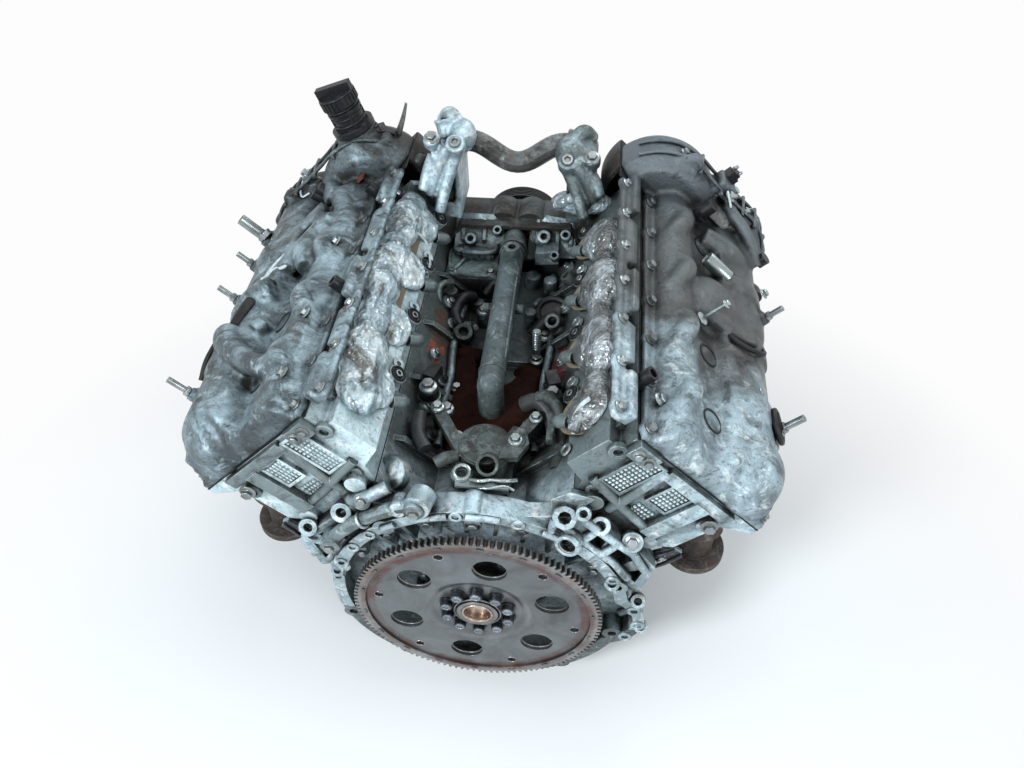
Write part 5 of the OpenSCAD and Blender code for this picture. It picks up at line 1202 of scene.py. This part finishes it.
def right_web(cast):
    """Eight-sided boss, tube boss with its ring, lugs, and the lattice of ribs round the pockets."""
    lugs = ((107, 16, 183, 15, 18), (148, 14, 172, 12, 12), (187, 20, 138, 13, 16), (168, 6, 62, 10, 8),
            (203, 10, 20, 10, 10), (211, 6, -38, 9, 8), (128, 12, 196, 9, 12))
    for k, (x, y, z, r, h) in enumerate(lugs):
        cast.pipe((x, y, z), (0, -0.8, 0.6), r, r * 0.52, h, 22 if k else 8)
    cast.pipe((120, 22, 146), TUBE_AXIS, 15, 10.5, 34, 28, 26)
    cast.ring((112, -6, 153), TUBE_AXIS, 13, 2.6, 30)
    ribs = (((104, 6, 176), (140, 6, 134)), ((140, 6, 134), (168, 4, 108)), ((120, 6, 196), (190, 6, 126)),
            ((146, 6, 172), (128, 4, 150)), ((190, 6, 126), (206, 6, 92)), ((168, 4, 108), (186, 2, 80)),
            ((96, 4, 188), (92, 2, 168)), ((172, 8, 146), (150, 4, 122)))
    for start, stop in ribs:
        middle = (Vector(start) + Vector(stop)) / 2
        cast.tube([start, middle + REAR, stop], 5.5, 10, 3)
    cast.slab([(92, 20, 186), (124, 20, 198), (140, 22, 216), (112, 24, 222), (90, 26, 204)], (0, -1, 0.1), 8)


def left_web(cast):
    """Lugs, and the pipe end above them."""
    for x, y, z, r, h in ((-206, 16, 122, 12, 12), (-158, 16, 160, 13, 14), (-186, 14, 96, 10, 12),
                          (-172, 4, 66, 10, 6), (-181, 3, 44, 9, 5), (-130, 14, 186, 11, 10)):
        cast.pipe((x, y, z), (0, -0.85, 0.5), r, r * 0.48, h, 22)
    cast.cyl((-98, 52, 188), (-0.35, -0.55, 0.76), 21, 17, 36, round_off=4)
    cast.cyl((-58, 16, 200), (-0.15, -0.9, 0.15), 16, 26, 30, round_off=3)
    cast.cyl((-84, 14, 190), (0, -0.9, 0.3), 10, 24, 22, round_off=2)
    cast.tube([(-150, 22, 172), (-140, 14, 184), (-120, 12, 196), (-100, 20, 204)], 9, 12)
    cast.tube([(-204, 12, 110), (-214, 16, 92), (-206, 14, 66)], 10, 12)


def bell_rim(cast, bright):
    """Pads and screw bosses on the rim, ribs and bolts inside the bell."""
    for a0, a1 in ((99, 113), (80, 92), (120, 128), (58, 66)):
        cast.tube([polar(186, a, -1) for a in range(a0, a1 + 1, 3)], 5, 10, 3)
    for a in (96, 73, 49, 134, 146, 159, 24, 170):
        cast.pipe(polar(184, a, 2), REAR, 8.5, 4, 4, 22)
    for a in range(38, 150, 14):
        d = polar(1, a)
        cast.box(d * 158 + Y * 17, (5, 16, 38), (Y.cross(d), Y, d))
    for a in range(30, 160, 20):
        d = polar(1, a)
        cast.cyl(d * 166 + Y * 24, REAR, 8, 16, 18, round_off=1.5)
        bright.bolt(d * 166 + Y * 8, REAR, 5.5)
    cast.cyl((0, 22, 168), REAR, 11, 20, 24, round_off=2)


def bell_screws(bright):
    bright.ring((0, 1, 168), Y, 9, 1.8, 28)
    bright.bolt((0, 2, 168), REAR, 6)
    bright.ring((112, -8, 154), TUBE_AXIS, 10.5, 1.6, 28)
    bright.bolt((187, 8, 147), (0, -0.8, 0.6), 6.5)
    bright.bolt((-130, 5, 191), (0, -0.85, 0.5), 6)
    # round the flange of the seal retainer
    low, high = extent("rear_seal_retainer")
    for k in range(8):
        bright.bolt(polar((high[0] - low[0]) / 2 - 8, 22.5 + 45 * k, low[1] + 1), REAR, 5)


def starter_pocket(cast):
    """Screw ears round the pocket, and its inner wall."""
    for a in (-42, 30, -8):
        cast.pipe(Vector((150, 2, -22)) + polar(57, a), REAR, 9.5, 4.6, 4, 22)
    cast.tube([(176, 22, 20), (190, 20, 2), (196, 22, -24), (184, 22, -38)], 6, 10)
    cast.cyl((186, 20, 34), (-0.2, -0.9, 0.3), 11, 16, 22, round_off=2)


cast_forms, bright_forms = Bag(), Bag()
right_web(cast_forms)
left_web(cast_forms)
bell_rim(cast_forms, bright_forms)
bell_screws(bright_forms)
starter_pocket(cast_forms)
piece("bell_bosses", cast_forms, "block")
piece("bell_screws", bright_forms, "bright_bolts")

rims, screws = Bag(), Bag()
for side in (-1, 1):
    rims.cyl((side * 214, 27, 84), REAR, 8, 4, 20)
    rims.tube([(side * 206, 26, 64), (side * 228, 24, 82), (side * 249, 26, 101)], 2.6, 8)
    rims.tube([(side * 208, 26, 90), (side * 224, 24, 102), (side * 240, 26, 110)], 2.6, 8)
    screws.bolt((side * 214, 24, 84), REAR, 5.5)
    screws.bolt((side * 226, 27, 94), REAR, 4)
piece("rear_plate_rims", rims, "dark_bolts")
piece("rear_plate_screws", screws, "bright_bolts")

# clips along the breather pipe, and screws at its ends
BREATHER_R, BREATHER_ENDS = 212, (146, 107.6)
clips, screws = Bag(), Bag()
for a in (*BREATHER_ENDS, 128):
    c = polar(BREATHER_R, a, -3)
    tangent, out = polar(1, a + 90), c.normalized()
    clips.ring(c, tangent, 9.4, 2.0, 24)
    clips.box(c + Y * 8 - out * 9, (14, 8, 12), (tangent, Y, out))
for a in BREATHER_ENDS:
    screws.bolt(polar(BREATHER_R, a, -12), REAR, 6.5)
piece("breather_clips", clips, "block")
piece("breather_screws", screws, "bright_bolts")

# ---------------------------------------------------------------- flexplate, on the crankshaft


def clock(radius, degrees, y):
    """A point around the crankshaft axis, counted from +Z towards +X."""
    a = math.radians(degrees)
    return Vector((radius * math.sin(a), y, radius * math.cos(a)))


rims, beads, bore, tops = Bag(), Bag(), Bag(), Bag()
for a in range(0, 360, 60):
    rims.ring(clock(101, 11 + a, PLATE_Y + 5.2), Y, 21.4, 1.3, 44)
    rims.ring(clock(128, 41 + a, PLATE_Y + 0.3), Y, 6.4, 0.9, 24, 6)
rims.ring(Y * (PLATE_Y + 5.0), Y, 64, 1.5, 96)
rims.ring(Y * (PLATE_Y + 0.2), Y, 30, 1.2, 96)
rims.ring(Y * (PLATE_Y + 1.2), Y, 143.6, 1.1, 120, 6)
for start, count in ((20, 3), (78, 2), (150, 3), (215, 2), (262, 4), (330, 2)):
    for k in range(count):
        beads.knot(polar(138, start + 2.4 * k, PLATE_Y + 0.4), REAR, 3.2, start + k, 10, 0.4)
for a in range(6, 366, 20):
    beads.box(polar(148.8, a, GEAR_Y - 0.2), (9, 1.6, 3), (polar(1, a + 90), Y, polar(1, a)))
bore.pipe(Y * (PLATE_Y + 6), REAR, 20.7, 17.2, 8.5, 48, 8)
bore.ring(Y * (PLATE_Y - 2.2), Y, 19.2, 1.3, 48)
for a in range(0, 360, 36):
    profile = [(6.4, 0), (6.4, 2.0), (5.6, 2.8), (4.0, 2.8), (3.4, 1.6)]
    tops.lathe(clock(41.6, a, BOLT_TOP_Y + 1.5), REAR, profile, 12)
piece("flexplate_rims", rims, "plate_edge", "crank")
piece("flexplate_beads", beads, "flexplate", "crank")
piece("pilot_sleeve", bore, "bronze", "crank")
piece("flexplate_bolt_tops", tops, "bolt_top", "crank")

# ---------------------------------------------------------------- filler neck and cap
lean = math.radians(25)
FILL = (LEFT.u * math.cos(lean) - LEFT.v * math.sin(lean)).normalized()
FOOT = LEFT.at(DOME_U, INTAKE_DOME_V, FRONT_Y + 36) + FILL * 86
SCREW_EAR = FOOT + Vector((36, 2, -16))
ACROSS, ALONG = square_to(FILL)

neck, cap, screws = Bag(), Bag(), Bag()
for h, radius, r in ((14, 22.4, 2.2), (24, 22.2, 1.4), (37, 23.2, 1.6)):
    neck.ring(FOOT + FILL * h, FILL, radius, r, 40)
neck.box(FOOT + FILL * 5 + Vector((24, 4, -12)), (40, 20, 9), (FILL.cross(Y), Y, FILL))
neck.cyl(SCREW_EAR, FILL, 11, 15, 22, round_off=2)
for k in range(4):
    a = math.pi / 2 * k + 0.5
    out = ACROSS * math.cos(a) + ALONG * math.sin(a)
    neck.box(FOOT + FILL * 16 + out * 23, (3, 3, 22), (out, FILL.cross(out), FILL))
for out in ellipse(Vector(), (ACROSS, 1), (ALONG, 1), 26):
    cap.box(FOOT + FILL * 48 + out * 26, (2.4, 3.0, 13), (out, FILL.cross(out), FILL))
cap.ring(FOOT + FILL * 56, FILL, 25, 1.8, 44)
screws.bolt(SCREW_EAR + FILL * 15, FILL, 7)
piece("filler_neck_ribs", neck, "black_plastic")
piece("filler_cap_grip", cap, "black_plastic", "filler_cap")
piece("filler_screw", screws, "dark_bolts")

# ---------------------------------------------------------------- brackets, connectors and small fittings
brackets, plugs, bright, tag = Bag(), Bag(), Bag(), Bag()
brackets.tube([(-186, FRONT_Y + 34, 322), (-174, FRONT_Y + 40, 350), (-162, FRONT_Y + 42, 380),
               (-155, FRONT_Y + 46, 404)], lambda s: 12 - 9 * s, 12, flat=0.5)
brackets.slab([(268, 470, 292), (300, 466, 262), (306, 470, 268), (276, 476, 300)], (0.3, 1, 0.4), 12)
brackets.slab([(300, 520, 300), (322, 516, 284), (326, 520, 262), (300, 524, 270)], Y, 10)
brackets.cyl((308, 470, 252), (0.1, 1, 0.1), 15, 60, 26, round_off=3)
piece("front_brackets", brackets, "crossover")

plugs.box(RIGHT.at(432, -10, FRONT_Y + 28), (16, 20, 30), RIGHT.across)
plugs.box(RIGHT.at(444, -10, FRONT_Y + 28), (12, 14, 16), RIGHT.across)
plugs.cyl(RIGHT.at(410, 86, FRONT_Y - 50), RIGHT.u, 9, 14, 20)
plugs.tube(RIGHT.run((352, 120, 470), (372, 128, 450), (380, 122, 420)), 9, 14)
plugs.cyl(LEFT.at(392, -20, 454), LEFT.u + LEFT.v * 0.2, 10, 26, 22)
for k in range(6):
    out = LEFT.v * math.cos(k) + Y * math.sin(k)
    plugs.box(LEFT.at(404, -20, 454) + out * 10, (2, 2, 18), LEFT.across)
piece("connectors", plugs, "black_plastic")

bright.cyl(RIGHT.at(448, -14, FRONT_Y + 32), RIGHT.u, 2.4, 9, 10)
bright.cyl(RIGHT.at(448, -6, FRONT_Y + 26), RIGHT.u, 2.4, 9, 10)
bright.cyl((-358, 429, 243), (-0.62, 0.18, 0.62), 8.4, 8, 20)
bright.bolt(RIGHT.at(430, 56, 330), RIGHT.u, 5)
# a long screw with its washer, and the bright stub of pipe, on the tunnel of the right cover
bright.cyl(RIGHT.at(384, -30, 236), RIGHT.u, 2.4, 46, 12)
bright.bolt(RIGHT.at(428, -30, 236), RIGHT.u, 4)
bright.lathe(RIGHT.at(392, -30, 236), RIGHT.u, [(9, 0), (9, 2), (5, 3)], 20)
bright.pipe(RIGHT.at(400, 22, 356), (-0.72, 0.2, 0.6), 10, 7.5, 40, 26, 20)
piece("bright_fittings", bright, "bright_tube")
tag.box(LEFT.at(382, -77, 474), (12, 26, 3), LEFT.across)
piece("paint_mark", tag, "red_mark")

# ---------------------------------------------------------------- front of the engine
FACE_Y = extent("timing_cover")[1][1]
face, seal = Bag(), Bag()
for x in (-70, 70):
    face.tube([(x, FACE_Y - 3, -20), (x * 1.3, FACE_Y - 2, 60), (x * 1.1, FACE_Y - 3, 150)], 6, 10)
for z in (40, 92):
    face.tube([(-120, FACE_Y - 3, z), (0, FACE_Y - 1, z + 8), (120, FACE_Y - 3, z)], 4.5, 10)
for a in range(0, 360, 45):
    face.tube([polar(46, a, FACE_Y - 2), polar(74, a, FACE_Y - 3)], 4, 8, 2)
face.ring((0, FACE_Y, 0), Y, 44, 4, 48, 10)
seal.ring((0, FACE_Y + 1.5, 0), Y, 36, 4, 48, 10)
piece("timing_cover_ribs", face, "timing_cover")
piece("front_seal", seal, "rubber")

# ---------------------------------------------------------------- floor and backdrop, in metres
PAPER_WHITE = (0.98, 0.98, 0.98)
FLOOR_SIZE = 14
FLOOR_DROP = 0.0002  # under the lowest point of the engine
bpy.ops.mesh.primitive_plane_add(size=FLOOR_SIZE, location=(0, 0, cad_box[0][2] - FLOOR_DROP))
floor = bpy.context.object
floor.name = "floor"
t = material("floor_paper")
coords = t.coords()
paper_tint = t.mix(t.noise(coords, 3.0), (0.92, 0.92, 0.92), (0.94, 0.94, 0.94))
# the paper is lit and shaded near the engine and plain white further away
distance = t.node("ShaderNodeVectorMath", "Value", {0: coords}, operation="LENGTH")
far = t.seen_rays() * (distance / 2.0).rise(0.24, 0.52)
white = t.node("ShaderNodeEmission", "Emission", {"Color": PAPER_WHITE})
t.show(t.mix_shaders(far, t.principled(paper_tint, 0.0, 0.9), white))
floor.data.materials.append(LOOKS["floor_paper"])

scene = bpy.context.scene
scene.world = bpy.data.worlds.new("world")
scene.world.use_nodes = True
t = Tree(scene.world.node_tree)
sky = t.node("ShaderNodeBackground", "Background", {"Color": (0.84, 0.93, 1.0), "Strength": 0.30})
backdrop = t.node("ShaderNodeBackground", "Background", {"Color": PAPER_WHITE})
t.feed(t.nodes["World Output"].inputs["Surface"], t.mix_shaders(t.seen_rays(), sky, backdrop))

# ---------------------------------------------------------------- lamps and camera, in metres


def lamp(name, place, target, size, power, colour=(0.92, 0.97, 1.0)):
    data = bpy.data.lights.new(name, "AREA")
    data.shape = "RECTANGLE"
    data.size, data.size_y = size
    data.energy = power
    data.color = colour
    o = to_scene(name, data)
    o.location = place
    o.rotation_mode = "QUATERNION"
    o.rotation_quaternion = (Vector(target) - Vector(place)).to_track_quat("-Z", "Y")


lamp("key", (-1.3, -1.6, 1.75), (-0.05, 0.15, 0.15), (0.7, 0.5), 60, (0.90, 0.96, 1.0))
lamp("rim", (1.0, 1.9, 1.9), (0, 0.3, 0.2), (1.0, 0.7), 17)
lamp("fill", (1.5, -1.5, 1.4), (0.05, 0.1, 0.1), (0.9, 0.7), 22)
lamp("top", (0.2, 0.2, 2.6), (0, 0.25, 0.0), (0.9, 0.9), 8)

# fitted to the photo
CAMERA_PLACE = (0.128, -0.598, 1.037)
AZIMUTH, ELEVATION, ROLL = map(math.radians, (7.3, 46.1, -1.7))
FOCAL_SHARE = 900 / 1024  # focal length over the width of the picture
SENSOR_WIDTH = 36.0

lens = bpy.data.cameras.new("camera")
lens.sensor_fit = "HORIZONTAL"
lens.sensor_width = SENSOR_WIDTH
lens.lens = FOCAL_SHARE * SENSOR_WIDTH
lens.clip_start, lens.clip_end = 0.05, 30
camera = to_scene("camera", lens)
scene.camera = camera
back = Vector((math.sin(AZIMUTH) * math.cos(ELEVATION), -math.cos(AZIMUTH) * math.cos(ELEVATION),
               math.sin(ELEVATION)))
side = (-back).cross(Z).normalized()
up = side.cross(-back)
turned_side = side * math.cos(ROLL) + up * math.sin(ROLL)
turned_up = -side * math.sin(ROLL) + up * math.cos(ROLL)
turn = Matrix((turned_side, turned_up, back)).transposed().to_4x4()
camera.matrix_world = Matrix.Translation(CAMERA_PLACE) @ turn

scene.view_settings.view_transform = "Standard"
scene.view_settings.look = "None"
scene.view_settings.exposure = 0.0
scene.view_settings.gamma = 1.0
